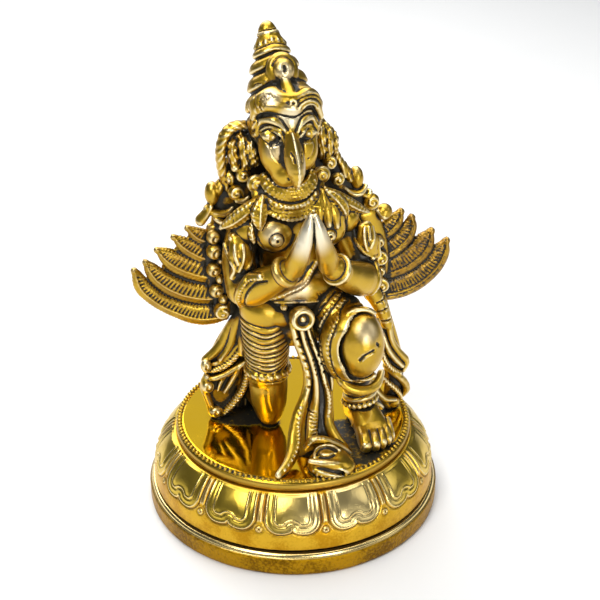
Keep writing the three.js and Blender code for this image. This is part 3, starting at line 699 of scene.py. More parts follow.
def beltAndThread(clay):
    upper = [(-12.4, 39.6), (-8.1, 41.6), (-5, 42.4), (-1, 42.4), (4.7, 41.8), (9, 41.4)]
    for drop in (0, 1.15, 2.3):
        bead(clay, [[(x, z - drop) for x, z in upper]], radius=0.55, height=0.42, blend=0.1)
    thread = [(4.6, 52.6), (2.7, 49.8), (0.4, 47.4), (-3.6, 45.6), (-8.1, 42.9), (-10.8, 41.2)]
    bead(clay, [thread], radius=1.05, height=0.7, blend=0.1)
    pearls(clay, [thread], radius=0.42, pitch=0.95, height=0.36)
    rosette(clay, -4.6, -9.2, 40.9, 1.2, 1.2)
    hatch = [[(4.4 + i * 0.9, 44.4 - i * 0.3), (6.6 + i * 0.9, 39.4 - i * 0.3)] for i in range(7)]
    groove(clay, hatch, 0.25, 0.25)


def collar(clay):
    inner = [(-8.8, -4.4, 76.8), (-7.4, -7, 75.2), (-4.9, -8.8, 74.2), (-2.4, -9.4, 73.9), (0.4, -9, 74.4),
             (2.8, -7.4, 75.4), (4, -4.8, 76.8)]
    sweep(clay, inner, [1.5, 2.1, 2.3, 2.3, 2.3, 2.1, 1.5], [1.2, 1.6, 1.7, 1.7, 1.7, 1.6, 1.2], steps=22,
          square=2.8)
    outer = [(-10.6, -3.4, 74.4), (-9.6, -6.4, 72), (-6.8, -8.9, 70.2), (-2.7, -9.9, 69.3), (1.4, -9.4, 69.9),
             (4.4, -7.5, 71.8), (6, -4.6, 74.2)]
    sweep(clay, outer, [1.6, 2.5, 2.7, 2.7, 2.7, 2.5, 1.6], [1, 1.5, 1.6, 1.6, 1.6, 1.5, 1], steps=24,
          square=3)
    seam = [(-9.8, 75.2), (-9, 73.8), (-6.6, 72.3), (-4.4, 71.8), (-2.6, 71.6), (-0.4, 71.8), (1.5, 72.3),
            (3.9, 73.9), (4.8, 75.4)]
    groove(clay, [seam], 0.3, 0.4)
    grit = [[(x + 0.45 * (i % 2), z + 0.7 + 0.85 * i) for x, z in seam[1:-1]] for i in range(5)]
    pearls(clay, grit, 0.42, 0.9, 0.3)
    pearls(clay, [[(x * 1.02 - 0.05, z - 1) for x, z in seam[1:-1]]], 0.62, 1.15, 0.55)
    for drop in (2, 2.9, 3.8):
        line = [(x * (1 + 0.02 * drop), z - drop) for x, z in seam[1:-1]]
        groove(clay, [line], 0.2, 0.18)
        pearls(clay, [[(x, z - 0.45) for x, z in line]], 0.36, 0.8, 0.2)
    low = [(-10, 71.2), (-8.2, 69), (-5.4, 67.7), (-2.8, 67.2), (-0.2, 67.5), (2.6, 68.6), (5, 70.8)]
    pearls(clay, [low], 0.7, 1.2, 0.6)


def capeLeaf(clay, points, across, ribs, edge, deep):
    def carving(share, s, q):
        rib = 0.28 * bump(s, 0, 0.16)
        wave = 0.5 - 0.5 * np.cos(2 * np.pi * (ribs * share + 0.6 * np.abs(s)))
        hatch = -0.2 * wave ** 2 * (np.abs(s) > 0.2)
        rim = 0.2 * bump(np.abs(s), 0.8, 0.14)
        saw = edge * np.cos(2 * np.pi * ribs * share) * (s > 0.5)
        return (rib + hatch + rim + saw) * (q > -0.3)

    sweep(clay, points, across, [deep * 0.6, deep, deep, deep, deep * 0.4], steps=12, carve=carving)


def cape(clay, sizes):
    ball(clay, (-13.6, -4, 62.8), (3.7, 3.9, 4.6), turn=-0.3, blend=0.3)
    ball(clay, (13.6, -4, 63.2), (3.7, 3.6, 4.4), turn=0.3, blend=0.3)
    for leaf in sizes["leaves"]:
        capeLeaf(clay, *leaf)
    for path in sizes["capeFolds"]:
        sweep(clay, path, [0.5, 1.1, 1.5, 0.7], [0.7, 1.2, 1.3, 0.7], blend=0.15)


def armlets(clay):
    armlet(clay, [(-16.6, -6.2, 61), (-16.2, -7.6, 57.6), (-16.4, -8, 54), (-18.3, -7.2, 50.8)],
           [(-19.3, 60.2), (-18, 61.8), (-15.8, 62.3), (-13.5, 60), (-13.2, 56.6), (-14.8, 53.4),
            (-18.5, 50.6), (-17.9, 53.6), (-19.2, 57), (-19.3, 60.2)],
           [[(-17.5, 60), (-17.7, 57.6), (-17, 55.4)], [(-15.5, 60), (-15.6, 57), (-16.8, 53.2)]])
    armlet(clay, [(18.6, -6, 61), (19, -7.2, 57.8), (19.8, -7.4, 54.8), (22.4, -6.6, 52.6)],
           [(21.4, 61.8), (18.6, 63), (16.4, 62), (15.6, 59.4), (16.6, 56.2), (19, 53.6), (22.6, 52.2),
            (22, 55.4), (22.3, 58.6), (21.4, 61.8)],
           [[(20.4, 60.8), (20.4, 58.4), (19.4, 56)], [(18.2, 61), (17.8, 58.2), (18.6, 55.2)],
            [(19.3, 61), (19.2, 58.4)]])


def armlet(clay, body, outline, strands):
    sweep(clay, body, [2, 3.1, 2.7, 0.8], [1.4, 2.1, 1.9, 0.9])
    bead(clay, [outline], radius=0.62, height=0.5, blend=0.12)
    bead(clay, strands, radius=0.6, height=0.5, blend=0.12)


armSizes = {
    "upperArms": [
        [(-13.4, -0.8, 62), (-15.6, -2.7, 54), (-15.2, -6, 46)],
        [(13, -0.8, 62), (17.4, -2.6, 53), (19.4, -6, 45)],
    ],
    "foreArms": [  # path, half widths, half depths
        ([(-15.2, -6.4, 46.4), (-13, -9.4, 47.6), (-9.4, -12.8, 51), (-5.2, -16.4, 55)], [4.6, 5, 4.3, 3.1],
         [4.4, 4.7, 4, 2.9]),
        ([(19.4, -6.4, 45.6), (16.6, -10, 47.2), (12, -13.6, 50.4), (7.4, -16.6, 54.4)], [4.6, 5, 4.3, 3.2],
         [4.4, 4.8, 4, 3]),
    ],
    "hands": [
        [(-3.8, -17.2, 56), (-2.8, -19, 60), (-1.9, -20.4, 64.6), (-1.1, -21.1, 69), (-0.5, -21.3, 71.9)],
        [(5.7, -17.2, 55.8), (4.4, -19, 60), (2.8, -20.4, 64.6), (1.5, -21.1, 69), (0.7, -21.3, 71.9)],
    ],
}


def armsClay(sizes=armSizes):
    clay = newClay((-24.6, -25.2, 34), (27, 9, 74.4))
    for path in sizes["upperArms"]:
        sweep(clay, path, [4.6, 4.5, 4.6], blend=0.5)
    for path, across, deep in sizes["foreArms"]:
        sweep(clay, path, across, deep, steps=14, blend=0.3)
    armlets(clay)
    for path in sizes["hands"]:
        sweep(clay, path, [2.9, 2.7, 2.2, 1.5, 0.75], [2.7, 3, 2.5, 1.9, 1], steps=14, blend=0.25)
    cuff = [(-12.2, 53.2), (-14.8, 52), (-16.8, 49.2), (-17.5, 45.8), (-16.4, 42.8)]
    bead(clay, [cuff], radius=1.1, height=0.6, blend=0.15)
    pearls(clay, [cuff], radius=0.45, pitch=0.85, height=0.3)
    groove(clay, [[(x + 1.35, z - 0.5) for x, z in cuff]], 0.34, 0.5)
    ring(clay, (-5.9, -15.6, 54.4), (0.62, -0.5, 0.62), 3.3, 1.25, 1.15, blend=0.05)
    leftWrist = (-0.72, -0.5, 0.62)
    ring(clay, (8, -16.3, 53.9), leftWrist, 3.2, 0.75, 1.25, blend=0.15)
    ring(clay, (8.9, -15.6, 53), leftWrist, 3, 1.2, 0.8, blend=0.3)
    bead(clay, [[(19.2, 43.4), (20.6, 46), (21.2, 49.4), (20.4, 52.4)]], radius=0.9, height=0.5, blend=0.15)
    pearls(clay, [[(20.6, 43.4), (21.8, 46), (22.4, 49.4)]], radius=0.6, pitch=1.2, height=0.4)
    return clay


# Wings: feathers drawn by their low and high edges, from root to tip

featherSizes = {
    "place": 4.2,
    "thickness": 1.55,
    "rightBarbPitch": 1.15,
    "leftBarbPitch": 1.05,
    "rightFeathers": [
        ([(-19, 32.6), (-24, 31.9), (-28.3, 32.8), (-32.5, 35.1), (-36.4, 37.7), (-39.9, 40.8), (-42.3, 44.1),
          (-43.1, 49.8)],
         [(-19, 37.4), (-22.2, 37.4), (-26.5, 38), (-30.2, 39.3), (-34.3, 41.3), (-37.4, 43.8), (-40, 47),
          (-42.4, 50.2)]),
        ([(-19, 38.6), (-23.8, 38.3), (-29, 39.6), (-33.4, 41.8), (-37.2, 45.1), (-39.4, 49.1), (-39.8, 52)],
         [(-19, 43.6), (-22.8, 43.4), (-27.4, 44.4), (-31.7, 46.6), (-34.9, 49), (-37.4, 51.4),
          (-39.4, 52.4)]),
        ([(-19, 44.4), (-22.4, 44.6), (-27.7, 46.4), (-31.8, 48.9), (-34.8, 52), (-36.5, 55.4)],
         [(-19.6, 49.4), (-23.2, 49.9), (-27.4, 51.6), (-31.4, 54), (-33.6, 55.4), (-36.2, 55.8)]),
        ([(-19.6, 50), (-23, 50.2), (-27, 52.4), (-29.9, 55), (-31.8, 58.8)],
         [(-20.4, 54.6), (-23, 55), (-26, 56.8), (-28.4, 58.2), (-31.5, 59)]),
        ([(-20.6, 55.5), (-24, 56), (-26.4, 58), (-27.9, 61)],
         [(-21.2, 59.4), (-23.4, 60), (-25.4, 60.8), (-27.6, 61.2)]),
    ],
    "leftFeathers": [
        ([(24, 33.8), (29, 33.4), (33.4, 33.7), (37.6, 35), (41.4, 37.5), (44.4, 40.8), (46.3, 45.4),
          (45.9, 49.2)],
         [(24, 38.6), (28, 39.2), (31.6, 39.9), (35, 41), (38, 42.6), (41, 45.2), (43, 48.2), (45.6, 49.6)]),
        ([(24, 40), (28, 40), (31.4, 40.5), (34.6, 41.5), (38, 43.5), (40.4, 46.1), (41.6, 49.6),
          (41.2, 52.8)],
         [(24, 44.4), (27.4, 45.2), (30.9, 46.4), (33.8, 48), (36.3, 50), (38, 52.2), (40.7, 53)]),
        ([(24, 45.6), (27, 45.8), (30.1, 46.9), (33.1, 48.7), (35.2, 51.3), (36, 54.2), (35.1, 57.2)],
         [(23.6, 49.4), (25.8, 50.2), (28.4, 51.4), (31, 53.2), (33, 55.6), (34.6, 57.4)]),
        ([(22.6, 50.6), (25.4, 51.2), (28.4, 52.8), (31, 54.9), (32.2, 57.3), (31.8, 59.6)],
         [(22.6, 54.2), (24.8, 55.2), (26.8, 56.6), (29, 58.6), (31.4, 59.8)]),
    ],
}


def feather(clay, low, high, barbs, rimmed, place, thickness):
    count = 26  # steps along a feather
    lowPath, highPath = smoothPath(low, count), smoothPath(high, count)
    middle = (lowPath + highPath) / 2
    half = np.linalg.norm(highPath - lowPath, axis=1) / 2 + 0.42
    path = np.stack([middle[:, 0], np.full(count, place), middle[:, 1]], axis=1)
    lowSide = 1 if middle[-1, 0] < middle[0, 0] else -1
    deep = thickness * np.interp(np.linspace(0, 1, count), [0, 0.75, 0.93, 1], [1, 1, 0.8, 0.5])

    def carving(share, s, q):
        toLow = s * lowSide  # +1 at the low edge, -1 at the high edge
        slant = 1 - 0.5 * toLow
        barb = 0.5 - 0.5 * np.cos(2 * np.pi * (barbs * share + 1.15 * slant))
        if rimmed:
            rib = 0.3 * (toLow > 0.42) - 0.35 * bump(toLow, 0.36, 0.07)
            rib = rib - 0.3 * bump(toLow, 0.62, 0.06) + 0.12 * bump(toLow, 0.8, 0.15)
            hatch = -0.36 * barb ** 1.6 * (toLow < 0.3) * (toLow > -0.92)
        else:
            rib = 0.34 * bump(toLow, 0.44, 0.13)
            twisted = 0.5 - 0.5 * np.cos(2 * np.pi * (barbs * 1.2 * share - 0.8 * toLow))
            hatch = -0.4 * barb ** 1.7 * (toLow < 0.32) * (toLow > -0.95) - 0.14 * twisted * (toLow > 0.58)
        lean = 0.35 * toLow
        return (rib + hatch * (share < 0.97) + lean) * (np.abs(q) > 0.05)

    sweep(clay, path, half, deep, blend=0, carve=carving, raw=True, square=2.6)


def wingClay(side, sizes=featherSizes):
    right = side == "right"
    clay = newClay((-45.6, -1, 29.8), (-16.2, 9, 63)) if right else newClay((20.4, -1, 31.2), (48.6, 9, 62))
    feathers = sizes[side + "Feathers"]
    barbPitch = sizes["rightBarbPitch" if right else "leftBarbPitch"]
    for number in reversed(range(len(feathers))):
        low, high = feathers[number]
        feather(clay, low, high, round(pathLength(low) / barbPitch), not right,
                sizes["place"] + 0.12 * number, sizes["thickness"] - 0.08 * number)
    for (_, high), (nextLow, _) in zip(feathers, feathers[1:]):
        between = (smoothPath(high, 12)[:9] + smoothPath(nextLow, 12)[:9]) / 2
        web = np.stack([between[:, 0], np.full(len(between), sizes["place"] + 0.5), between[:, 1]], axis=1)
        sweep(clay, web, [2, 1.8, 1], 0.6, raw=True)
    return clay


# Hips, kneeling right leg and raised left leg

legSizes = {
    "thighFolds": [15, 18.6, 19.8, 20.8, 22.2, 23.3, 24.9, 26.1, 27.9, 29.2, 31.2, 32.5, 34.6, 38.5],
    "foldHeight": 0.22,
    "foldGroove": 0.3,
    "eggCentre": (14.9, -17.3, 30.8),
    "eggRadii": (6.5, 6.6, 9.8),
    "clothCentre": (12.8, -15.2, 29.9),
    "clothRadii": (9.2, 7.9, 11.7),
}


def legsClay(sizes=legSizes):
    clay = newClay((-18, -29.4, -1.8), (28.8, 30, 45))
    ball(clay, (0.6, 0.4, 33.4), (13, 9.4, 8.6), blend=0.5)
    ball(clay, (-2.6, -2.4, 37.4), (11.4, 7.8, 5.2), turn=0.08, blend=1.2)
    folds = ridged(sizes["thighFolds"], sizes["foldHeight"], sizes["foldGroove"], 0.33)
    top, bottom = 37.0, 18.0

    def pleats(share, s, q):
        level = top + (bottom - top) * share - 2.1 * s * s - 0.6 * s
        return folds(level + 0.12 * np.sin(5 * s + 9 * share))

    thigh = [(-8.4, -2.6, top), (-8.4, -3.3, bottom)]
    sweep(clay, thigh, [7.2, 6.6, 5.8], [6.4, 6.4, 5.7], steps=3, carve=pleats, blend=0.2)
    ball(clay, (-8.2, -3.2, 38.2), (8, 5.6, 4.6), turn=-0.25, blend=1)
    notched = lambda angle, w: -0.26 * (0.5 - 0.5 * np.cos(17 * angle + 1.2 * w)) ** 4
    ring(clay, (-8.2, -3.3, 18.9), up, 5.2, 1.5, 1.7, carve=notched, blend=0.02)
    ring(clay, (-8.1, -3.3, 16.9), up, 5.5, 0.35, 0.5, blend=0.05)
    sweep(clay, [(-8.1, -3.3, 18), (-8, -3.25, 12.8), (-7.9, -3.1, 7.5), (-7.7, -2.9, 3), (-7.5, -2.8, -0.8)],
          [5.4, 5.5, 5.1, 3.8, 1.7], steps=14)
    groove(clay, [[(-9.8, 14.4), (-9.6, 11), (-8.6, 7.2)]], 0.5, 0.1, blend=0.5)
    shin = [(-8, -1, 5), (-8.4, 9, 5), (-8, 17, 4.4)]
    sweep(clay, shin, [3.6, 5, 4.2], [4, 4.6, 4], facing=up, blend=0.4)
    sweep(clay, [(-8, 15, 4), (-8, 21, 3), (-8, 26.4, 1.2)], [3.4, 3.6, 3.2], [3.4, 2.6, 1.6], facing=up,
          blend=0.3)
    for i in range(5):
        ball(clay, (-10.8 + i * 1.4, 26.8 - abs(i - 1.5) * 0.3, 1.1), (0.85, 1.8, 1.1))
    ring(clay, (-8, 15.4, 4), (0, 1, -0.1), 3.9, 0.7, 0.6, carve=lambda angle, w: 0.1 * np.cos(20 * angle),
         blend=0.05)
    raisedLeg(clay, sizes)
    return clay


def raisedLeg(clay, sizes):
    thigh = [(5.5, -1, 35), (9.4, -8, 36.4), (12.4, -13.6, 33.6)]
    rings = lambda share, s, q: 0.12 * np.cos(2 * np.pi * 9 * share) - 0.1
    sweep(clay, thigh, [7.2, 7.8, 7.4], [6.2, 6.9, 7.6], steps=10, carve=rings, blend=0.4)
    ball(clay, sizes["clothCentre"], sizes["clothRadii"], lean=0.1, blend=0.3)
    centre, radii = sizes["eggCentre"], sizes["eggRadii"]
    ball(clay, (centre[0], centre[1] - 1.4, centre[2]), (radii[0] + 0.7, radii[1] + 0.2, radii[2] + 0.7),
         blend=0.02, cut=True)
    ball(clay, centre, radii, blend=0)
    for tool in ((-10.4, -55.7, 36.4), (43.4, -53.4, 36.4)):  # two flats ground onto the knee
        ball(clay, tool, 40, blend=0.3, cut=True)
    count = 26
    rim = oval((centre[0] - 0.3, centre[2] + 0.3), (radii[0] + 0.9, radii[2] + 1), 60, 300, count)
    rimDepth = np.interp(np.arange(count), [0, 13, 25], [-17.6, -16.8, -19.2])
    path = np.stack([rim[:, 0], rimDepth, rim[:, 1]], axis=1)
    sweep(clay, path, [0.6, 0.9, 1, 0.9, 0.7], 0.95, raw=True, blend=0.15)
    outer = [oval((centre[0] - 0.9 * i, centre[2] + 0.1 * i),
                  (radii[0] + 1.1 + 0.8 * i, radii[2] + 1.3 + 0.7 * i), 75, 240) for i in (1, 2, 3)]
    groove(clay, outer, 0.34, 0.5)
    hatch = [[(x, z), (x - 0.8, z + 0.5)] for line in outer[:2] for x, z in smoothPath(line, 26)]
    groove(clay, hatch, 0.2, 0.2)
    groove(clay, [[(12.8, 29.4), (13.9, 30.8), (15.4, 31.6), (16.8, 32.1)], [(17.8, 33.6), (18.5, 32.8)]],
           0.48, 0.55)
    lip = [(8.2, -16.2, 23.6), (9.4, -18.6, 20.4), (12.4, -19.8, 18.2), (16, -19.9, 17.6),
           (19.4, -18.6, 18.2), (21.6, -15.6, 20.2)]
    sweep(clay, lip, [0.8, 1.3, 1.4, 1.4, 1.3, 0.8], 1.3, steps=16, blend=0.3)
    groove(clay, [[(10.4, 22), (13, 20.6), (16.2, 20), (19.4, 20.8)]], 0.3, 0.35)
    shin = [(14.6, -13.6, 21), (15.6, -12.6, 16.4), (16.6, -11.6, 12), (17, -10.8, 8)]
    sweep(clay, shin, [5, 4.1, 3.7, 3.9], steps=10, blend=0.3)
    tilt = (-0.2, 0.15, 1)
    ring(clay, (16.2, -12.1, 14.2), tilt, 4, 0.6, 0.6, blend=0.2)
    ring(clay, (16.8, -11.4, 11.6), tilt, 4.2, 0.9, 0.9)
    beads, radius = 20, 4.6  # of the anklet
    for i in range(beads):
        x, y = radius * math.cos(2 * math.pi * i / beads), radius * math.sin(2 * math.pi * i / beads)
        ball(clay, (16.9 + x, -11.3 + y, 9.6 + 0.16 * x - 0.12 * y), 0.85)
    ring(clay, (16.9, -11.2, 10.6), tilt, 4.3, 0.5, 0.6, blend=0.05)
    foot = [(17.2, -6.2, 3.6), (17.5, -10.4, 5.2), (18, -14.6, 4.8), (18.6, -18.6, 3.5), (19, -21.6, 2.8)]
    sweep(clay, foot, [3.4, 3.9, 4.5, 4.9, 4.8], [3.6, 5, 4.2, 3.3, 2.7], facing=up, steps=12, square=2.4,
          blend=0.3)
    for x, y, wide in ((15, -24.2, 1.75), (17.7, -24.6, 1.4), (19.9, -24, 1.3), (21.8, -22.9, 1.25),
                       (23.3, -21.5, 1.1)):
        sweep(clay, [(x + 0.3, y + 4.6, 3.2), (x, y + 1.8, 3), (x - 0.1, y - 0.2, 2.3)],
              [wide, wide, wide * 0.95], [2.7, 2.7, 2.1], facing=up, square=2.6, blend=0.2)
        groove(clay, [[(x + wide * 0.95, 5.6), (x + wide * 0.95, 3.6)]], 0.25, 0.3)
    for y, z, wide, size in ((-13.2, 9, 4.3, 0.7), (-17.2, 7, 4.8, 0.45), (-20, 5.9, 4.8, 0.4)):
        arch = [(18.4 - wide, y + 1.6, z - 3.4), (18.2 - wide * 0.6, y, z - 0.9), (18.6, y - 0.4, z),
                (19 + wide * 0.6, y, z - 0.9), (19.2 + wide, y + 1.6, z - 3.2)]
        sweep(clay, arch, size, steps=12, blend=0.2)


# Cloth: the sash falling between the legs onto the plate, and the pleated drapes at each side


def strand(clay, points, across, deep, notched=False):
    length = pathLength(points)
    notches = lambda share, s, q: 0.16 * np.cos(2 * np.pi * (length * share + 0.5 * s))
    carve = notches if notched else None
    sweep(clay, points, across, deep, blend=0.15, steps=max(8, int(length / 1.6)), carve=carve)


sashSizes = {
    "core": ([(-0.2, -10.4, 38), (1.2, -12, 30), (3.8, -13.4, 21), (3.6, -15.6, 12), (2.4, -18.4, 5),
              (2, -21, -0.8)], [2.4, 2.6, 3.6, 4.3, 5.4, 6.8], [1.2, 1.2, 1.3, 1.3, 1.4, 1.4]),
    "strands": [
        ([(-3.2, -12, 37), (-2.2, -13, 32), (-0.4, -14.2, 26.4), (0.5, -15.2, 20.6), (-0.8, -16.4, 15.8),
          (-3.2, -18.6, 11.6), (-4.7, -21, 7.4), (-5.8, -24, 4.2), (-8, -27.4, 2.4), (-11.6, -30.6, 1.2)],
         [0.8, 1, 1.1, 1.1, 1.1, 1.5, 1.8, 2, 1.8, 1], [1.1, 1.4, 1.5, 1.6, 1.6, 1.6, 1.6, 1.5, 1.3, 0.9]),
        ([(-1.2, -13.2, 37), (0, -14, 31.4), (1.6, -15, 26), (2.5, -15.8, 20.6), (2.4, -16.6, 15),
          (1.2, -18.2, 9.8), (0.2, -21.2, 5)], [0.6, 0.75, 0.8, 0.85, 1.05, 1.6, 1.7],
         [1, 1.4, 1.6, 1.6, 1.5, 1.4, 1.2]),
        ([(0.6, -12.8, 37), (2, -13.6, 31.4), (3.9, -14.8, 25.8), (5, -15.6, 20.4), (5.8, -16.3, 17),
          (6, -17, 13.2), (5.6, -18, 10), (5.9, -19.6, 7), (7.4, -21.4, 4), (9.4, -22.8, 1.8)],
         [0.6, 0.7, 0.8, 0.85, 0.9, 0.95, 1.1, 1.5, 1.5, 1.1],
         [1, 1.3, 1.4, 1.5, 1.5, 1.5, 1.4, 1.4, 1.2, 1]),
        ([(2, -12, 35.4), (3.4, -12.8, 30), (6, -13.8, 25), (7.3, -14.6, 20), (7.4, -15, 16.4)],
         [0.6, 0.7, 0.8, 0.7, 0.4], [1, 1.2, 1.3, 1.2, 0.8]),
    ],
}


def sashClay(sizes=sashSizes):
    clay = newClay((-15, -38.4, -1.8), (16.2, -2.4, 45))
    sweep(clay, *sizes["core"], steps=16, blend=0.2)
    for settings in sizes["strands"]:
        strand(clay, *settings)
    grit = [[(4.6, 21), (5.6, 17), (5.8, 13.4), (5.4, 10.4)], [(5.2, 19), (6.2, 15.6), (6, 11.6)]]
    pearls(clay, grit, 0.42, 0.95, 0.28)
    bands = [[(0.1, 11.9 - i * 0.9), (1.1, 11.8 - i * 0.9), (2.2, 11.4 - i * 0.9)] for i in range(7)]
    groove(clay, bands, 0.24, 0.3)
    steps = [(1.6, 27), (1.9, 25.6), (2.2, 24.2), (2.4, 22.8), (0, 33), (0.4, 31.6)]
    groove(clay, [[(x, z), (x + 1.6, z - 0.7)] for x, z in steps], 0.24, 0.26)
    nicks = [(-2.4, 33), (-2, 31), (-1.3, 29), (-0.9, 27), (-0.3, 24.6), (0, 22), (-0.1, 19.4), (3.4, 28),
             (4, 25.6), (4.6, 23.2)]
    groove(clay, [[(x, z), (x + 1.1, z - 0.5)] for x, z in nicks], 0.3, 0.34)
    pearls(clay, [[(-2.4, 14), (-3.4, 11.3), (-3.8, 8.9), (-4, 6.9), (-5, 4.9), (-6.8, 3.6), (-9.6, 2.2)]],
           0.5, 1, 0.36)
    sweep(clay, [(-2, -22.8, 3.6), (0, -23.4, 5.9), (2.6, -23.6, 5.9), (5.6, -23.6, 4.6), (8.6, -23.4, 2.4),
                 (10.9, -23.2, 0.2)], [0.8, 1.3, 1.1, 0.9, 0.9, 0.7], 1.1, steps=16)
    ball(clay, (3.4, -28.8, 1.4), (6.2, 5.4, 3.9))
    ball(clay, (5.4, -30.2, 1.3), (4.7, 3.9, 2.7), blend=0.6)
    lid = [(-1, -29.2, 4.1), (-0.5, -27.6, 4.5), (0.9, -25.6, 4.5), (2.8, -25.4, 4.9), (4.6, -26.6, 5.2),
           (6, -28.6, 5)]
    inside = [(-0.6, -28.6, 4.2), (0.2, -27, 4.6), (1.2, -26.2, 4.7), (2.8, -26.5, 5), (4.3, -27.7, 5.2),
              (5.1, -29, 5.1)]
    below = [(0, -29.6, 4.6), (1.2, -30.5, 4.8), (2.8, -30.8, 4.9), (4.4, -30.1, 5)]
    sweep(clay, lid, 0.6, steps=14, blend=0.15)
    sweep(clay, inside, [0.3, 0.5, 0.5, 0.5, 0.4, 0.3], 0.7, steps=14, blend=0.05, cut=True)
    sweep(clay, below, [0.3, 0.42, 0.42, 0.3], 0.6, steps=10, blend=0.05, cut=True)
    ball(clay, (2.3, -28.7, 4.9), (1.9, 1.5, 0.6))
    tongue = [(-2.6, -30.4, 4.2), (0.4, -32, 4.2), (3.6, -32.6, 3.7), (6.6, -31.6, 2.7), (9.2, -29.6, 1.2)]
    sweep(clay, tongue, [0.7, 1, 1.1, 1, 0.6], steps=14, blend=0.4)
    crease = [(-2.6, -31.4, 2.7), (0.4, -33.2, 2.7), (3.4, -34.2, 2), (5.6, -33.4, 1), (7.2, -32, -0.2)]
    sweep(clay, crease, [0.5, 0.75, 0.9, 0.8, 0.6], steps=14, cut=True)
    pearls(clay, [[(-1.8, 1.6), (-0.4, 0.9), (1.4, 0.5), (3.2, 0.2)], [(-1, 0.6), (0.6, 0)]], 0.5, 0.95, 0.3)
    pearls(clay, [[(-1.4, 5), (0.2, 6.6), (2.6, 6.6)]], 0.42, 0.9, 0.26)
    medallion(clay)
    return clay


def medallion(clay):
    sweep(clay, [(-0.5, -5, 37.8), (-0.7, -12.6, 38.8)], [3.6, 3.1], facing=up, steps=3, blend=0.2)
    x, y, z = -0.75, -14.2, 39.3
    ball(clay, (x, y, z), (3.3, 1.6, 3.4), lean=0.15)
    ball(clay, (x, y - 1.7, z + 0.1), (2.1, 1.5, 2.1), cut=True)
    ring(clay, (x, y - 0.7, z), (0, -1, 0.15), 2.6, 0.85, 0.65)
    ball(clay, (x, y - 0.4, z), (0.95, 1, 0.95), blend=0.05)


drapeSizes = {
    "rightCore": ([(-12.5, 2.6, 36), (-15.8, 4.6, 28), (-18.8, 5.4, 18), (-19.6, 5.6, 9), (-20.2, 5.2, -0.8)],
                  [2.2, 3.4, 5.6, 5.4, 2.6], [2.4, 2, 1.8, 1.7, 1.4]),
    "rightStrands": [  # path, half widths, half depth, notched or not
        ([(-11.6, -0.6, 37.6), (-13.4, 0.6, 33), (-14.4, 1.4, 28), (-14.8, 2, 22)], [1.2, 1.5, 1.4, 1], 1.6),
        ([(-12.8, 0.6, 37.4), (-15.8, 2, 31), (-17.4, 3, 25), (-20.6, 3.4, 20)], [1.1, 1.4, 1.4, 1], 1.5),
        ([(-14, 2, 36.6), (-17.6, 3.6, 29.4), (-20.6, 4, 23.4), (-25, 4.4, 19.4)], [1, 1.4, 1.6, 1], 1.5),
        ([(-13.6, 1.6, 26), (-16, 2, 21.4), (-19.2, 2.6, 18), (-22.4, 3.2, 16.6), (-25.2, 4, 16.4)],
         [0.7, 0.9, 1, 0.9, 0.7], 1.1, True),
        ([(-15.6, 2.2, 24.8), (-18.4, 2.8, 20.6), (-21.6, 3.4, 18.6), (-24.8, 4.2, 18.2)],
         [0.6, 0.8, 0.8, 0.6], 1),
        ([(-13.2, 1.8, 19), (-17, 2.4, 16.4), (-21, 3, 14.2), (-24.8, 4, 13.4)], [0.7, 1, 1, 0.8], 1.2),
        ([(-24.6, 4, 14.4), (-25.6, 4.2, 11.4), (-25, 4.2, 8), (-23.9, 4.2, 4.6), (-23.4, 4, 1.6),
          (-21.6, 3.6, 0)], [0.9, 1.2, 1.1, 1.1, 1.2, 1], 1.5),
    ],
    "rightLowStrands": [
        ([(-12.8, 1.4, 18.6), (-13.3, 1.8, 14), (-14.3, 2.2, 10), (-16.4, 2.8, 6), (-19, 3.2, 2.8),
          (-21.4, 3.6, 1)], [0.8, 1, 1.1, 1.1, 1, 0.8], 1.4, True),
        ([(-15.4, 2, 17.6), (-16.9, 2.6, 14), (-18.3, 3.2, 11), (-19.8, 3.6, 8.6)], [0.6, 0.9, 0.8, 0.4],
         1.2),
        ([(-18.6, 3, 15.4), (-20.6, 3.4, 12.4), (-21.6, 3.8, 9.4)], [0.5, 0.7, 0.4], 1),
    ],
    "leftCore": ([(21, 2, 46), (24.4, 1.2, 38), (27.4, -0.2, 28), (29.6, -1, 18), (30.4, -1.2, 9),
                  (29.4, -1, -0.8)], [2.6, 2.4, 2.2, 2.8, 3, 2], [2.6, 2.2, 2, 1.9, 1.9, 1.7]),
    "leftStrands": [
        ([(27.8, -1.6, 28), (28.8, -2.4, 22.4), (31.2, -2.4, 18), (33.6, -2, 14.8), (32.8, -2, 11.8)],
         [1, 1.1, 1.2, 1.2, 0.8], 1.5),
        ([(26, -2.4, 25), (27.2, -3.4, 21), (29.6, -3.6, 17), (32, -3, 14)], [0.7, 0.9, 1, 0.8], 1.4),
        ([(25.4, -3, 21), (26.6, -3.8, 17), (28.6, -4, 14), (31.4, -3.4, 11.8)], [0.6, 0.8, 0.9, 0.7], 1.3,
         True),
        ([(27, -3, 14.4), (30, -3.6, 11.6), (32.8, -3, 8.4), (34, -2.4, 5.2), (32.2, -2, 2.8)],
         [0.8, 1.1, 1.2, 1.2, 0.8], 1.5),
        ([(25.4, -3.6, 12), (28, -4.4, 9), (30.6, -4, 6), (32, -3.2, 3.4)], [0.6, 0.8, 0.9, 0.7], 1.3, True),
        ([(22.6, -5.4, 10.6), (24, -6, 7.6), (26.4, -5.6, 4.8), (29.6, -4.4, 3.4)], [0.7, 1, 1, 0.8], 1.3),
    ],
}


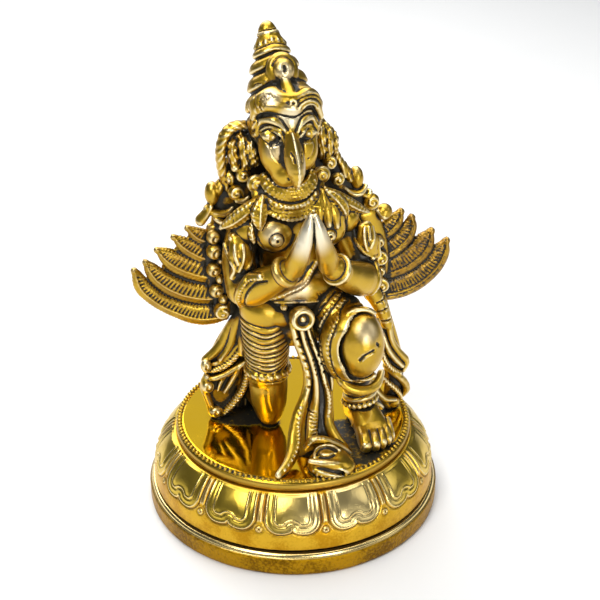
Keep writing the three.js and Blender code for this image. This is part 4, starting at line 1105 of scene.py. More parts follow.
def drapesClay(sizes=drapeSizes):
    clay = newClay((-28.2, -9.6, -1.8), (37.2, 12, 50))
    folded = lambda share, s, q: 0.35 * np.cos(2 * np.pi * 2.2 * s)
    sweep(clay, [(-12.4, 5, 34), (-12.2, 6.6, 20), (-12.6, 8, 8), (-13, 8.6, -0.8)], [3.6, 4.6, 5.2, 5.4],
          [2, 1.6, 1.4, 1.3], carve=folded, blend=0.2)
    rightDrape(clay, sizes)
    leftDrape(clay, sizes)
    return clay


def rightDrape(clay, sizes):
    sweep(clay, *sizes["rightCore"], steps=12, blend=0.3)
    for settings in sizes["rightStrands"]:
        strand(clay, *settings)
    curledEnds = ((-24.9, 18.4, 1.6, 2.1), (-24.7, 11.4, 1.8, 1.9), (-22.5, 2.6, 2, 1.8))
    for x, z, wide, tall in curledEnds:
        ball(clay, (x, 2.7, z), (wide, 1.7, tall), blend=0.15)
        groove(clay, [oval((x + 0.5, z + 0.2), (wide * 0.5, tall * 0.5), 150, 400, 10)], 0.26, 0.4)
    for settings in sizes["rightLowStrands"]:
        strand(clay, *settings)


def leftDrape(clay, sizes):
    sweep(clay, *sizes["leftCore"], steps=14, blend=0.3)
    strip = [(20.6, -1.4, 41), (23.4, -1.4, 37), (26, -1.6, 32), (27.6, -2, 27.4)]
    sweep(clay, strip, [2.4, 2.3, 2, 1.6], [1.6, 1.6, 1.5, 1.4], steps=10, blend=0.15)
    groove(clay, [[(23.6, 35.2), (27, 36.2)], [(24, 32.2), (28, 33.2)], [(25, 29), (29, 29.6)]], 0.28, 0.4)
    groove(clay, [[(25.6, 36), (26.2, 33)], [(26, 32.4), (26.8, 29.8)]], 0.2, 0.25)
    for settings in sizes["leftStrands"]:
        strand(clay, *settings)
    ball(clay, (29.6, -3.6, 2), (2, 1.9, 2), blend=0.2)
    strand(clay, [(24.6, -4.2, 7), (26.8, -4, 3), (29, -3, -0.6)], [1, 1.2, 1], 1.6)


# Back: a mantle of hair falling behind head and shoulders, and cloth behind the hips

mantleSizes = {
    "upper": ([(-0.8, 4.2, 90), (-2, 4.2, 82), (-1.6, 4, 72), (0, 4, 62), (1.6, 4, 52), (1.8, 4, 44.6)],
              [7.6, 13.4, 19, 22.8, 23, 19], [3.4, 3, 2.5, 2.4, 2.2, 1.6]),
}


def mantleClay(sizes=mantleSizes):
    clay = newClay((-30, -1.8, 31.2), (34.8, 12.6, 92))

    def locks(share, s, q):
        strands = 0.13 * np.cos(2 * np.pi * (26 * s + 1.2 * np.sin(9 * share)))
        behind = 0.42 * np.abs(np.cos(np.pi * 7 * s)) - 0.3 + strands
        return np.where(q < 0.1, behind, 0.12 * np.cos(40 * s) * np.cos(60 * share))

    sweep(clay, *sizes["upper"], steps=16, carve=locks, square=3, blend=0.2)
    sideLocks = lambda share, s, q: np.where(q < 0.1, 0.35 * np.abs(np.cos(np.pi * 2 * s)) - 0.25, 0.0)
    besides = [([(-19, 4, 60), (-19.4, 4, 48), (-18, 4.2, 35)], [4, 4.6, 4.4, 3.4], [2.2, 2.1, 1.8]),
               ([(22, 3.8, 60), (25, 3.8, 48), (25.4, 3.8, 36)], [3.6, 4, 3.8, 3], [2.2, 2, 1.8])]
    for path, across, deep in besides:
        sweep(clay, path, across, deep, carve=sideLocks, square=2.6, blend=0.3)
    pleats = lambda share, s, q: 0.4 * np.cos(2 * np.pi * 5 * s) * (q < 0.3)
    sweep(clay, [(0.6, 6.4, 44), (0.8, 8.6, 38), (0.8, 8.4, 33)], [9, 11, 10.4], [2.4, 2.6, 1.6],
          carve=pleats, blend=0.4)
    belt = [(-10.6, 43.4), (-4, 44.4), (0.8, 44.6), (6, 44.4), (12, 43.6)]
    bead(clay, [belt, [(x, z - 2) for x, z in belt]], radius=0.7, height=0.5, side=1)
    pearls(clay, [[(x, z - 1) for x, z in belt]], 0.6, 1.3, 0.5, side=1)
    hem = [(-17, 46.6), (-12, 44.4), (-4, 43.6), (4, 43.6), (12, 44.4), (20, 46.2)]
    bead(clay, [hem], radius=0.6, height=0.4, side=1)
    return clay


# Casting: each clay becomes one closed brass piece, with dark patina values in its grooves and hollows


def solidShare(field, spacing):
    return np.clip(0.5 - field / spacing, 0, 1)


def feltHollows(clays, low, high):
    whole = newClay(low, high)
    shape = tuple((n + 1) // 2 for n in whole["field"].shape)
    filled = np.zeros(shape, np.float32)
    heights = whole["low"][2] + np.arange(shape[2]) * coarse
    filled[:, :, heights < 0] = 1
    for clay in clays:
        values = solidShare(clay["field"][::2, ::2, ::2], coarse)
        start = np.round((clay["low"] - whole["low"]) / coarse).astype(int)
        window = tuple(slice(start[k], start[k] + values.shape[k]) for k in range(3))
        filled[window] = np.maximum(filled[window], values)
    return {"low": whole["low"], "wide": boxBlur(filled, 2, 3), "near": boxBlur(filled, 1, 2)}


# How closed in each spot is, seen from afar and from near by
def felt(hollows, spots):
    place = (spots - hollows["low"]) / coarse
    return [sample(hollows[kind], place)[0] for kind in ("wide", "near")]


# Soft unevenness left by hand finishing, the same in every build
def handWaviness(vertices):
    dice = np.random.default_rng(7)
    waves = 6  # of each length
    total = np.zeros_like(vertices)
    for wave in (9.0, 4.5, 2.6):
        turn = dice.normal(size=(waves, 3)) * 2 * math.pi / wave / 1.6
        phase = dice.uniform(0, 2 * math.pi, waves)
        aim = dice.normal(size=(waves, 3))
        total += np.sin(vertices @ turn.T + phase) @ aim * (wave / 9)
    return total / 3


# Painted highlights, pale patches where light glints on the brass: place, radius and strength
paintedHighlightPlaces = [((-1, -20.5, 67), 8.5, 1), ((-3, -10.5, 95), 4, 0.7), ((-2.9, -4.6, 104.4), 3.2, 0.5),
                ((-7.6, -9, 99.6), 3.4, 0.5), ((-6.9, -10, 86.2), 3.4, 0.4), ((-1.8, -16, 83), 3.6, 0.5),
                ((-8.4, -12, 64), 4, 0.5), ((-1.5, -11, 46.4), 5.5, 0.5), ((15.4, -22.5, 37.6), 4.6, 0.45)]


# How much pale painted highlight each spot takes
def paintedHighlightShare(vertices):
    total = np.zeros(len(vertices))
    for place, radius, strength in paintedHighlightPlaces:
        distance = np.linalg.norm(vertices - place, axis=1)
        total = np.maximum(total, strength * (1 - ramp(distance, 0.35 * radius, radius)))
    return total


# Takes the strength of the crests' polish and painted highlight, and a share added to the hollows of the
# whole piece
def cast(name, clay, hollows, crestPolishAndHighlight=1.0, hollowBoost=0.0):
    spot, quads = skin(clay)
    vertices = spot * grain + clay["low"]
    vertices += 0.05 * handWaviness(vertices)
    fine = boxBlur(solidShare(clay["field"], grain), 1, 3)
    lines = sample(fine, spot)[0]
    wide, near = felt(hollows, vertices)
    values = {
        "groove": np.maximum(ramp(lines, 0.52, 0.63), 0.9 * ramp(near, 0.54, 0.7)),
        "hollow": np.minimum(1, ramp(wide, 0.47, 0.72) + hollowBoost),
        # convex ridges, polished and painted pale as highlights
        "crest": crestPolishAndHighlight * ramp(-lines, -0.47, -0.34),
        # share of pale painted highlight
        "paintedHighlight": paintedHighlightShare(vertices),
    }
    placed = (vertices + [0, 0, plateTop]) * mm
    return newMesh(name, placed, quads, values)


# Pedestal and plate: turned pieces, profiles of (radius, height) pairs from the bottom to the top

pedestalSizes = {
    "footRadius": 43.0,
    "footHeight": 5.5,
    "filletHeight": 1.0,
    "grooveHeight": 1.0,
    "grooveDepth": 1.0,
    "domeRadius": 41.5,
    "domeHeight": 14.0,
    "domeFullness": 2.6,
    "ledge": 0.6,
    "plateRadius": 34.4,
    "capRadius": 20,  # flat middle of a turned piece
    "petalCount": 14,
    "petalTurn": math.radians(-14),
    "petalHalfWidth": 7.35,
    "petalBottom": 4.9,
    "petalRadius": 38.6,  # where the width of a petal is measured
    "petalRows": 76,
    "petalColumns": 80,
    "notchRise": 1.3,
    "cornerRise": 4.2,
    "innerLine": 2.35,
    "footColumns": 360,
    "plateColumns": 384,
    "plateStains": [(-13, 5, 12, 9), (12, -15, 6.5, 10), (12, -26, 8, 4), (24, 0, 9, 8)],
}


def turnedMesh(name, profile, count, lift=None, values=None, turn=0.0):
    slope = np.gradient(profile, axis=0)
    normal = np.stack([slope[:, 1], -slope[:, 0]], axis=1)
    normal /= np.linalg.norm(normal, axis=1)[:, None] + 1e-9
    angle = turn + np.arange(count) * 2 * math.pi / count
    raised = np.zeros((len(profile), count)) if lift is None else lift
    radius = profile[:, :1] + raised * normal[:, :1]
    height = profile[:, 1:] + raised * normal[:, 1:]
    flat = np.zeros_like(radius)
    vertices = np.stack([radius * np.sin(angle), -radius * np.cos(angle), height + flat], axis=2)
    row, column = np.meshgrid(np.arange(len(profile) - 1), np.arange(count), indexing="ij")
    here, after = row * count + column, row * count + (column + 1) % count
    quads = np.stack([here, after, after + count, here + count], axis=2).reshape(-1, 4)
    last = (len(profile) - 1) * count
    caps = [list(range(count))[::-1], list(range(last, last + count))]
    shares = {label: share.ravel() for label, share in (values or {}).items()}
    return newMesh(name, vertices.reshape(-1, 3) * mm, quads, shares, caps)


# A profile with points at most spacing apart
def finePath(corners, spacing):
    points = [np.array(corners[0], float)]
    for corner in corners[1:]:
        start, end = points[-1], np.array(corner, float)
        steps = max(1, int(np.linalg.norm(end - start) / spacing))
        points += [start + (end - start) * (i + 1) / steps for i in range(steps)]
    return np.array(points)


# Signed distance in mm from the edge of a lotus petal, inside above 0; u across, v up the dome
def petalDistance(u, v, sizes):
    half, low = sizes["petalHalfWidth"], sizes["petalBottom"]
    lobe = half * 0.46
    lowerSteps, sideSteps, sideTop = 70, 30, 24
    out = np.linspace(0, half, lowerSteps)
    inner = sizes["notchRise"] * (1 - np.sqrt(np.clip(1 - ((lobe - out) / lobe) ** 2, 0, 1)))
    outer = sizes["cornerRise"] * (1 - np.sqrt(np.clip(1 - ((out - lobe) / (half - lobe)) ** 2, 0, 1)))
    lower = low + np.where(out < lobe, inner, outer)
    edgeU = np.concatenate([out, np.full(sideSteps, half)])
    edgeV = np.concatenate([lower, np.linspace(lower[-1], sideTop, sideSteps)])
    best = np.full(u.shape, 1e9)
    side = np.abs(u)
    for i in range(len(edgeU) - 1):
        du, dv = edgeU[i + 1] - edgeU[i], edgeV[i + 1] - edgeV[i]
        t = np.clip(((side - edgeU[i]) * du + (v - edgeV[i]) * dv) / (du * du + dv * dv + 1e-9), 0, 1)
        best = np.minimum(best, np.hypot(side - edgeU[i] - t * du, v - edgeV[i] - t * dv))
    inside = (side < half) & (v > np.interp(side, out, lower))
    return np.where(inside, best, -best)


# The height of the carving on one petal and the strips beside it, and the share of its smooth panel
def petalRelief(place, sizes):
    pitch = 2 * math.pi / sizes["petalCount"]
    columns = sizes["petalColumns"]
    angle = (np.arange(columns) / columns - 0.5) * pitch
    u = (angle * sizes["petalRadius"])[None, :] + np.zeros((len(place), 1))
    v = place[:, None] + np.zeros((1, columns))
    d = petalDistance(u, v, sizes)
    inner = sizes["innerLine"]
    relief = 0.16 * ramp(d, -0.15, 0.25) + 0.16 * bump(d, 0.3, 0.24) - 0.26 * bump(d, -0.36, 0.24)
    relief += 0.2 * bump(d, inner + 0.3, 0.22) - 0.26 * bump(d, inner - 0.3, 0.26) - 0.06 * bump(d, 1.15, 0.5)
    relief += 0.3 * (1 - np.exp(-np.clip(d - inner - 0.6, 0, 9) / 2.2))
    between = np.abs(np.abs(u) - sizes["petalRadius"] * pitch / 2)
    above = ramp(v, sizes["petalBottom"] + 2.6, sizes["petalBottom"] + 3.6)
    relief += above * (0.28 * ramp(-between, -0.75, -0.45) - 0.25 * bump(between, 0.95, 0.2))
    relief *= ramp(-place, -place[-1], -place[-1] + 1.2)[:, None]
    spot = np.hypot(between, v - sizes["petalBottom"] - 0.9)
    relief += 0.34 * bump(spot, 0.55, 0.22) - 0.2 * bump(spot, 0, 0.3) - 0.2 * bump(spot, 1.05, 0.2)
    return relief, ramp(d, -0.2, 0.6)


# Each value averaged four times with its neighbours round the dome and up it
def softened(values):
    for _ in range(4):
        values = (np.roll(values, 1, 1) + values + np.roll(values, -1, 1)) / 3
        values = (np.pad(values, ((1, 0), (0, 0)), mode="edge")[:-1] + values
                  + np.pad(values, ((0, 1), (0, 0)), mode="edge")[1:]) / 3
    return values


def lotusDome(sizes=pedestalSizes):
    foot = sizes["footHeight"] + sizes["filletHeight"]
    bottom = foot + sizes["grooveHeight"]
    neck = sizes["domeRadius"] - sizes["grooveDepth"]
    topRadius = sizes["plateRadius"] + sizes["ledge"]
    share = np.linspace(0, 1, 200)
    curve = np.stack([topRadius + (sizes["domeRadius"] - topRadius) * (1 - share ** sizes["domeFullness"]),
                      bottom + sizes["domeHeight"] * share], axis=1)
    length = np.concatenate([[0], np.cumsum(np.linalg.norm(np.diff(curve, axis=0), axis=1))])
    rows = sizes["petalRows"]
    place = np.linspace(0, length[-1], rows)
    dome = np.stack([np.interp(place, length, curve[:, k]) for k in (0, 1)], axis=1)
    lead = [(sizes["capRadius"], foot - 0.2), (neck - 0.5, foot - 0.2), (neck, foot + 0.1),
            (neck, bottom - 0.35), (sizes["domeRadius"] - 0.35, bottom - 0.1)]
    tail = [(topRadius - 0.4, pedestalTop), (sizes["capRadius"], pedestalTop)]
    profile = np.concatenate([lead, dome, tail])
    relief, panel = petalRelief(place, sizes)
    count = sizes["petalColumns"] * sizes["petalCount"]
    wall = slice(len(lead), len(lead) + rows)
    lift, bend, smooth, heightShare = (np.zeros((len(profile), count)) for _ in range(4))
    lift[wall] = np.tile(relief, (1, sizes["petalCount"]))
    bend[wall] = softened(lift[wall]) - lift[wall]
    smooth[wall] = np.tile(panel, (1, sizes["petalCount"]))
    heightShare[wall] = np.linspace(0, 1, rows)[:, None]
    dark = 0.85 * ramp(bend, 0.04, 0.17)
    dark[2:wall.start] = 1
    dark[wall.stop:] = 0.5
    # crest marks the convex rims, which the material paints pale as highlights
    values = {"groove": dark, "crest": ramp(-bend, 0.03, 0.12), "panel": smooth,
              "hollow": 0.45 * ramp(-heightShare, -0.12, 0.0)}
    turn = sizes["petalTurn"] - math.pi / sizes["petalCount"]
    return turnedMesh("lotusDome", profile, count, lift, values, turn)


def pedestalFoot(sizes=pedestalSizes):
    radius, height = sizes["footRadius"], sizes["footHeight"]
    top = height + sizes["filletHeight"]
    fillet = [(radius - 0.6 - 0.85 * (1 - math.cos(a)), height + sizes["filletHeight"] * math.sin(a) * 0.98)
              for a in np.linspace(0.15, math.pi / 2, 8)]
    corners = [(sizes["capRadius"], 0), (radius - 0.9, 0), (radius - 0.35, 0.15), (radius - 0.05, 0.6),
               (radius, 1.2), (radius, height - 0.5), (radius - 0.12, height - 0.15),
               (radius - 0.45, height + 0.02), *fillet, (radius - 2.4, top - 0.12),
               (sizes["domeRadius"] - sizes["grooveDepth"] - 0.2, top - 0.35),
               (sizes["capRadius"], top - 0.35)]
    profile = finePath(corners, 0.7)
    count = sizes["footColumns"]
    angle = np.arange(count) * 2 * math.pi / count
    wall = (profile[:, 0] > radius - 1.2)[:, None]
    waves = 0.05 * np.sin(3 * angle + 1) + 0.035 * np.sin(7 * angle + 2.2) + 0.02 * np.sin(17 * angle)
    dark = np.zeros((len(profile), count))
    dark[profile[:, 0] < radius - 1.9] = 1
    dark[np.abs(profile[:, 1] - height) < 0.12] = 0.5
    return turnedMesh("pedestalFoot", profile, count, wall * waves[None, :], {"groove": dark})


def plate(hollows, sizes=pedestalSizes):
    radius = sizes["plateRadius"]
    bottom, top = pedestalTop, plateTop
    corners = [(sizes["capRadius"], bottom + 0.1), (radius - 0.6, bottom + 0.1),
               (radius - 0.15, bottom + 0.3), (radius, bottom + 0.8),
               (radius + 0.05, top - 1.0), (radius - 0.1, top - 0.55),
               (radius - 0.4, top - 0.35), (radius - 0.5, top - 0.1), (radius - 1.5, top - 0.1),
               (radius - 1.65, top - 0.02), (0.5, top)]
    profile = finePath(corners, 0.8)
    out, height = profile[:, :1], profile[:, 1:]
    count = sizes["plateColumns"]
    angle = np.arange(count) * 2 * math.pi / count
    x, y = out * np.sin(angle), -(out * np.cos(angle))
    above = np.stack([x, y, np.full_like(x, 0.9)], axis=2).reshape(-1, 3)
    wide, near = (share.reshape(x.shape) for share in felt(hollows, above))
    level = height > top - 0.2
    dark = np.maximum(ramp(near, 0.3, 0.62), 0.7 * ramp(wide, 0.32, 0.6)) * level
    for spotX, spotY, wideX, wideY in sizes["plateStains"]:
        apart = np.hypot((x - spotX) / wideX, (y - spotY) / wideY)
        dark = np.maximum(dark, 0.95 * ramp(-apart, -1.15, -0.75) * level)
    seam = (out > radius - 1.8) & (out < radius - 0.3) & (height > top - 0.3)
    dark = np.maximum(dark, np.maximum(0.5 * (height < bottom + 0.2), 0.75 * seam))
    values = {"groove": dark, "hollow": 0.8 * ramp(wide, 0.3, 0.6) * level}
    return turnedMesh("plate", profile, count, None, values)


# Nodes of geometry and shader trees

# Sets or links a node's inputs. A colour is given by three numbers.
def feed(tree, node, values):
    for name, value in values.items():
        socket = node.inputs[name]
        if isinstance(value, bpy.types.NodeSocket):
            tree.links.new(value, socket)
        elif socket.type == "RGBA":
            socket.default_value = (*value, 1)
        else:
            socket.default_value = value


def newNode(tree, kind, values=None, **settings):
    node = tree.nodes.new(kind)
    for name, value in settings.items():
        setattr(node, name, value)
    feed(tree, node, values or {})
    return node


beadInputs = {"Radius": "Float", "Height": "Float", "Count": "Int", "Turn": "Float", "Bead Size": "Vector",
              "Bead Angle": "Vector", "Unevenness": "Float", "Material": "Material"}


# Beads standing evenly on a circle, each an oval that leans along it
def beadTree():
    tree = bpy.data.node_groups.new("beadCircle", "GeometryNodeTree")
    tree.interface.new_socket("Geometry", in_out="OUTPUT", socket_type="NodeSocketGeometry")
    for label, kind in beadInputs.items():
        tree.interface.new_socket(label, in_out="INPUT", socket_type="NodeSocket" + kind)
    given = tree.nodes.new("NodeGroupInput").outputs
    result = tree.nodes.new("NodeGroupOutput")
    circle = newNode(tree, "GeometryNodeMeshCircle", {"Vertices": given["Count"], "Radius": given["Radius"]})
    turn = newNode(tree, "ShaderNodeCombineXYZ", {"Z": given["Turn"]})
    lift = newNode(tree, "ShaderNodeCombineXYZ", {"Z": given["Height"]})
    placed = newNode(tree, "GeometryNodeTransform", {
        "Geometry": circle.outputs[0], "Translation": lift.outputs[0], "Rotation": turn.outputs[0]})
    sphere = newNode(tree, "GeometryNodeMeshUVSphere", {"Segments": 12, "Rings": 8, "Radius": 1.0})
    shaped = newNode(tree, "GeometryNodeTransform", {
        "Geometry": sphere.outputs["Mesh"], "Rotation": given["Bead Angle"]})
    position = newNode(tree, "GeometryNodeInputPosition")
    flat = newNode(tree, "ShaderNodeVectorMath", {0: position.outputs[0], 1: (1, 1, 0)}, operation="MULTIPLY")
    facing = newNode(tree, "FunctionNodeAlignEulerToVector", {"Vector": flat.outputs[0]}, axis="X",
                     pivot_axis="Z")
    uneven = newNode(tree, "FunctionNodeRandomValue", {"Min": 0.0, "Max": 1.0, "Seed": 5}, data_type="FLOAT")
    scale = timesPlus(tree, uneven.outputs[1], given["Unevenness"], 1.0)
    size = newNode(tree, "ShaderNodeVectorMath", {0: given["Bead Size"], "Scale": scale}, operation="SCALE")
    stood = newNode(tree, "GeometryNodeInstanceOnPoints", {
        "Points": placed.outputs[0], "Instance": shaped.outputs[0], "Rotation": facing.outputs[0],
        "Scale": size.outputs[0]})
    real = newNode(tree, "GeometryNodeRealizeInstances", {"Geometry": stood.outputs[0]})
    smooth = newNode(tree, "GeometryNodeSetShadeSmooth", {"Geometry": real.outputs[0], "Shade Smooth": True})
    finish = newNode(tree, "GeometryNodeSetMaterial", {
        "Geometry": smooth.outputs[0], "Material": given["Material"]})
    tree.links.new(finish.outputs[0], result.inputs[0])
    return tree


# Runs a tree and keeps its result as a plain mesh
def grown(name, tree, inputs):
    holder = bpy.data.objects.new(name, bpy.data.meshes.new(name + "Seed"))
    bpy.context.scene.collection.objects.link(holder)
    modifier = holder.modifiers.new("grow", "NODES")
    modifier.node_group = tree
    sockets = {item.name: item.identifier for item in tree.interface.items_tree if item.in_out == "INPUT"}
    for label, value in inputs.items():
        modifier[sockets[label]] = value
    graph = bpy.context.evaluated_depsgraph_get()
    mesh = bpy.data.meshes.new_from_object(holder.evaluated_get(graph))
    holder.modifiers.clear()
    holder.data = mesh
    mesh.name = name
    return holder


# Materials

def newFinish(name):
    material = bpy.data.materials.new(name)
    material.use_nodes = True
    tree = material.node_tree
    return material, tree, tree.nodes["Principled BSDF"]


def objectPlace(tree):
    return newNode(tree, "ShaderNodeTexCoord").outputs["Object"]


def painted(tree, title):
    return newNode(tree, "ShaderNodeAttribute", attribute_name=title).outputs["Fac"]


def noise(tree, place, scale, detail=3.0, roughness=0.55):
    values = {"Vector": place, "Scale": scale, "Detail": detail, "Roughness": roughness}
    return newNode(tree, "ShaderNodeTexNoise", values).outputs["Fac"]


def calc(tree, operation, *values):
    return newNode(tree, "ShaderNodeMath", dict(enumerate(values)), operation=operation).outputs[0]


def times(tree, a, b):
    return calc(tree, "MULTIPLY", a, b)


def timesPlus(tree, a, b, c):
    return calc(tree, "MULTIPLY_ADD", a, b, c)


# A value whose edges are made ragged by a noise
def frayed(tree, value, speckle, amount):
    return timesPlus(tree, calc(tree, "SUBTRACT", speckle, 0.5), amount, value)


def rampTo(tree, value, start, end, low=0.0, high=1.0):
    values = {"Value": value, "From Min": start, "From Max": end, "To Min": low, "To Max": high}
    return newNode(tree, "ShaderNodeMapRange", values, interpolation_type="SMOOTHSTEP").outputs["Result"]


def mixColour(tree, share, a, b):
    return newNode(tree, "ShaderNodeMix", {0: share, 6: a, 7: b}, data_type="RGBA").outputs[2]


def bumped(tree, height, distance, strength=1.0, under=None):
    values = {"Height": height, "Distance": distance, "Strength": strength}
    if under is not None:
        values["Normal"] = under
    return newNode(tree, "ShaderNodeBump", values).outputs["Normal"]


figureFinish = {
    # pale crest colour: polished, and painted as a highlight
    "bright": (0.92, 0.77, 0.42),
    # colour of the painted highlight patches
    "paintedHighlight": (0.95, 0.86, 0.64),
    "body": (0.60, 0.375, 0.028),
    "deep": (0.30, 0.15, 0.010),
    "patina": (0.022, 0.018, 0.009),
    "sheen": 0.31,
    "patinaRoughness": 0.62,
    "grainScale": 1500.0,
    "grainHeight": 0.00009,
}


# Crests polished and also painted pale as highlights, with pale painted highlight patches, over a browner
# body, brown-black patina in grooves and hollows
def figureBrass(finish=figureFinish):
    material, tree, shader = newFinish("figureBrass")
    place = objectPlace(tree)
    cut, hollow, crest, highlighted = (painted(tree, title) for title in ("groove", "hollow", "crest", "paintedHighlight"))
    speckle, cloud = noise(tree, place, 900, 4), noise(tree, place, 160)
    fine = noise(tree, place, finish["grainScale"], 2)
    depth = calc(tree, "ADD", times(tree, cut, 0.95), times(tree, hollow, 1.45))
    worn = calc(tree, "SUBTRACT", frayed(tree, depth, speckle, 0.9), times(tree, crest, 0.75))
    patina = rampTo(tree, worn, 0.26, 0.55)
    stain = rampTo(tree, timesPlus(tree, cloud, 0.6, depth), 0.25, 0.8)
    body = mixColour(tree, stain, finish["body"], finish["deep"])
    # crests painted pale: polish, and painted highlight
    metal = mixColour(tree, rampTo(tree, crest, 0.15, 0.9), body, finish["bright"])
    # pale painted highlight patches
    metal = mixColour(tree, highlighted, metal, finish["paintedHighlight"])
    gloss = rampTo(tree, cloud, 0.3, 0.75, finish["sheen"], finish["sheen"] + 0.12)
    rough = newNode(tree, "ShaderNodeMix", {0: patina, 2: gloss, 3: finish["patinaRoughness"]},
                    data_type="FLOAT")
    height = timesPlus(tree, speckle, timesPlus(tree, patina, 3.0, 0.4), fine)
    feed(tree, shader, {
        "Base Color": mixColour(tree, patina, metal, finish["patina"]),
        "Metallic": rampTo(tree, patina, 0, 1, 1.0, 0.25),
        "Roughness": rough.outputs[0],
        "Normal": bumped(tree, height, finish["grainHeight"], 0.5),
        "Specular IOR Level": 0.25,
        "Coat Weight": 0.35,
        "Coat Roughness": 0.2,
    })
    return material


turnedFinish = {
    "panel": (0.72, 0.495, 0.06),
    # painted highlight on the front petals: its colour, then its place
    "paintedHighlight": (0.84, 0.65, 0.27),
    "paintedHighlightPlace": (0.005, -0.040, 0.014),
    # pale colour of the petal rims and the foot's fillet, painted as highlights
    "bright": (0.88, 0.68, 0.28),
    "skirtBright": (0.72, 0.43, 0.03),
    "skirt": (0.50, 0.25, 0.008),
    "wallDeep": (0.17, 0.08, 0.002),
    "wall": (0.47, 0.25, 0.006),
    "dark": (0.085, 0.055, 0.018),
    "brushDepth": 0.00005,
    "grainDepth": 0.00009,
    "wallDepth": 0.00026,
}


# Satin petals with upright brush marks, a painted highlight on the front petals and rims painted pale as
# highlights, a grainy skirt below them, dark lines between
def domeBrass(finish=turnedFinish):
    material, tree, shader = newFinish("domeBrass")
    place = objectPlace(tree)
    x, y, z = newNode(tree, "ShaderNodeSeparateXYZ", {0: place}).outputs
    angle = calc(tree, "ARCTAN2", y, x)
    upright = newNode(tree, "ShaderNodeCombineXYZ", {0: times(tree, angle, 0.04), 1: times(tree, z, 0.12)})
    brush = noise(tree, upright.outputs[0], 5200, 3, 0.6)
    grit, cloud = noise(tree, place, 1700, 3, 0.6), noise(tree, place, 130)
    cut, crest, panel = (painted(tree, title) for title in ("groove", "crest", "panel"))
    worn = timesPlus(tree, cloud, 0.9, timesPlus(tree, grit, 0.5, -0.62))
    skirt = mixColour(tree, rampTo(tree, worn, -0.1, 0.22), finish["skirt"], finish["skirtBright"])
    # painted highlight on the front petals
    apart = newNode(tree, "ShaderNodeVectorMath", {0: place, 1: finish["paintedHighlightPlace"]}, operation="DISTANCE")
    highlighted = rampTo(tree, apart.outputs["Value"], 0.006, 0.024, 1.0, 0.0)
    petal = mixColour(tree, panel, skirt, mixColour(tree, highlighted, finish["panel"], finish["paintedHighlight"]))
    # rims painted pale as highlights
    lit = mixColour(tree, crest, petal, finish["bright"])
    dark = rampTo(tree, frayed(tree, cut, grit, 1.1), 0.35, 0.85)
    rough = timesPlus(tree, crest, -0.08, timesPlus(tree, panel, -0.1, 0.38))
    brushed = bumped(tree, brush, finish["brushDepth"], 0.6)
    feed(tree, shader, {
        "Base Color": mixColour(tree, dark, lit, finish["dark"]),
        "Metallic": rampTo(tree, dark, 0, 1, 1.0, 0.5),
        "Roughness": timesPlus(tree, dark, 0.2, rough),
        "Normal": bumped(tree, grit, finish["grainDepth"], timesPlus(tree, panel, -0.75, 0.85), brushed),
    })
    return material


# A cast wall of orange-gold grain under a turned fillet, smoother and painted brighter as a highlight
def footBrass(finish=turnedFinish):
    material, tree, shader = newFinish("footBrass")
    place = objectPlace(tree)
    height = newNode(tree, "ShaderNodeSeparateXYZ", {0: place}).outputs[2]
    grit, cloud = noise(tree, place, 1300, 4, 0.65), noise(tree, place, 90, 4, 0.6)
    fillet = rampTo(tree, height, 0.0053, 0.0057)
    mottle = timesPlus(tree, grit, 0.55, times(tree, cloud, 0.55))
    wall = mixColour(tree, rampTo(tree, mottle, 0.42, 0.64), finish["wallDeep"], finish["wall"])
    # fillet painted brighter as a highlight
    tone = mixColour(tree, fillet, wall, finish["bright"])
    dark = rampTo(tree, frayed(tree, painted(tree, "groove"), grit, 0.8), 0.45, 0.9)
    feed(tree, shader, {
        "Base Color": mixColour(tree, dark, tone, finish["dark"]),
        "Metallic": rampTo(tree, dark, 0, 1, 1.0, 0.5),
        "Roughness": timesPlus(tree, fillet, -0.2, timesPlus(tree, cloud, 0.12, 0.36)),
        "Normal": bumped(tree, calc(tree, "ADD", grit, cloud), finish["wallDepth"],
                         timesPlus(tree, fillet, -0.75, 0.85)),
    })
    return material


plateFinish = {
    "bright": (0.86, 0.535, 0.010),
    "stain": (0.5, 0.25, 0.015),
    "wall": (0.50, 0.31, 0.045),
    "dark": (0.02, 0.02, 0.016),
    "polish": 0.07,
    "waveDepth": 0.0003,
}


# Mirror polish with soft scratches, darkened round everything that stands on it
def plateBrass(finish=plateFinish):
    material, tree, shader = newFinish("plateBrass")
    place = objectPlace(tree)
    height = newNode(tree, "ShaderNodeSeparateXYZ", {0: place}).outputs[2]
    speckle, cloud, wave = noise(tree, place, 900, 4), noise(tree, place, 70, 4), noise(tree, place, 130, 2)
    ragged = frayed(tree, painted(tree, "groove"), speckle, 0.9)
    dark = rampTo(tree, frayed(tree, ragged, cloud, 0.9), 0.42, 0.9)
    tone = mixColour(tree, times(tree, painted(tree, "hollow"), 0.35), finish["bright"], finish["stain"])
    wall = rampTo(tree, height, (plateTop - 0.5) * mm, (plateTop - 0.25) * mm, 1.0, 0.0)
    tone = mixColour(tree, wall, tone, finish["wall"])
    rough = timesPlus(tree, rampTo(tree, cloud, 0.4, 0.75), 0.1, finish["polish"])
    rough = timesPlus(tree, wall, 0.25, rough)
    feed(tree, shader, {
        "Base Color": mixColour(tree, dark, tone, finish["dark"]),
        "Metallic": rampTo(tree, dark, 0, 1, 1.0, 0.4),
        "Roughness": timesPlus(tree, dark, 0.35, rough),
        "Normal": bumped(tree, timesPlus(tree, speckle, 0.06, wave), finish["waveDepth"], 0.35),
    })
    return material


# Studio


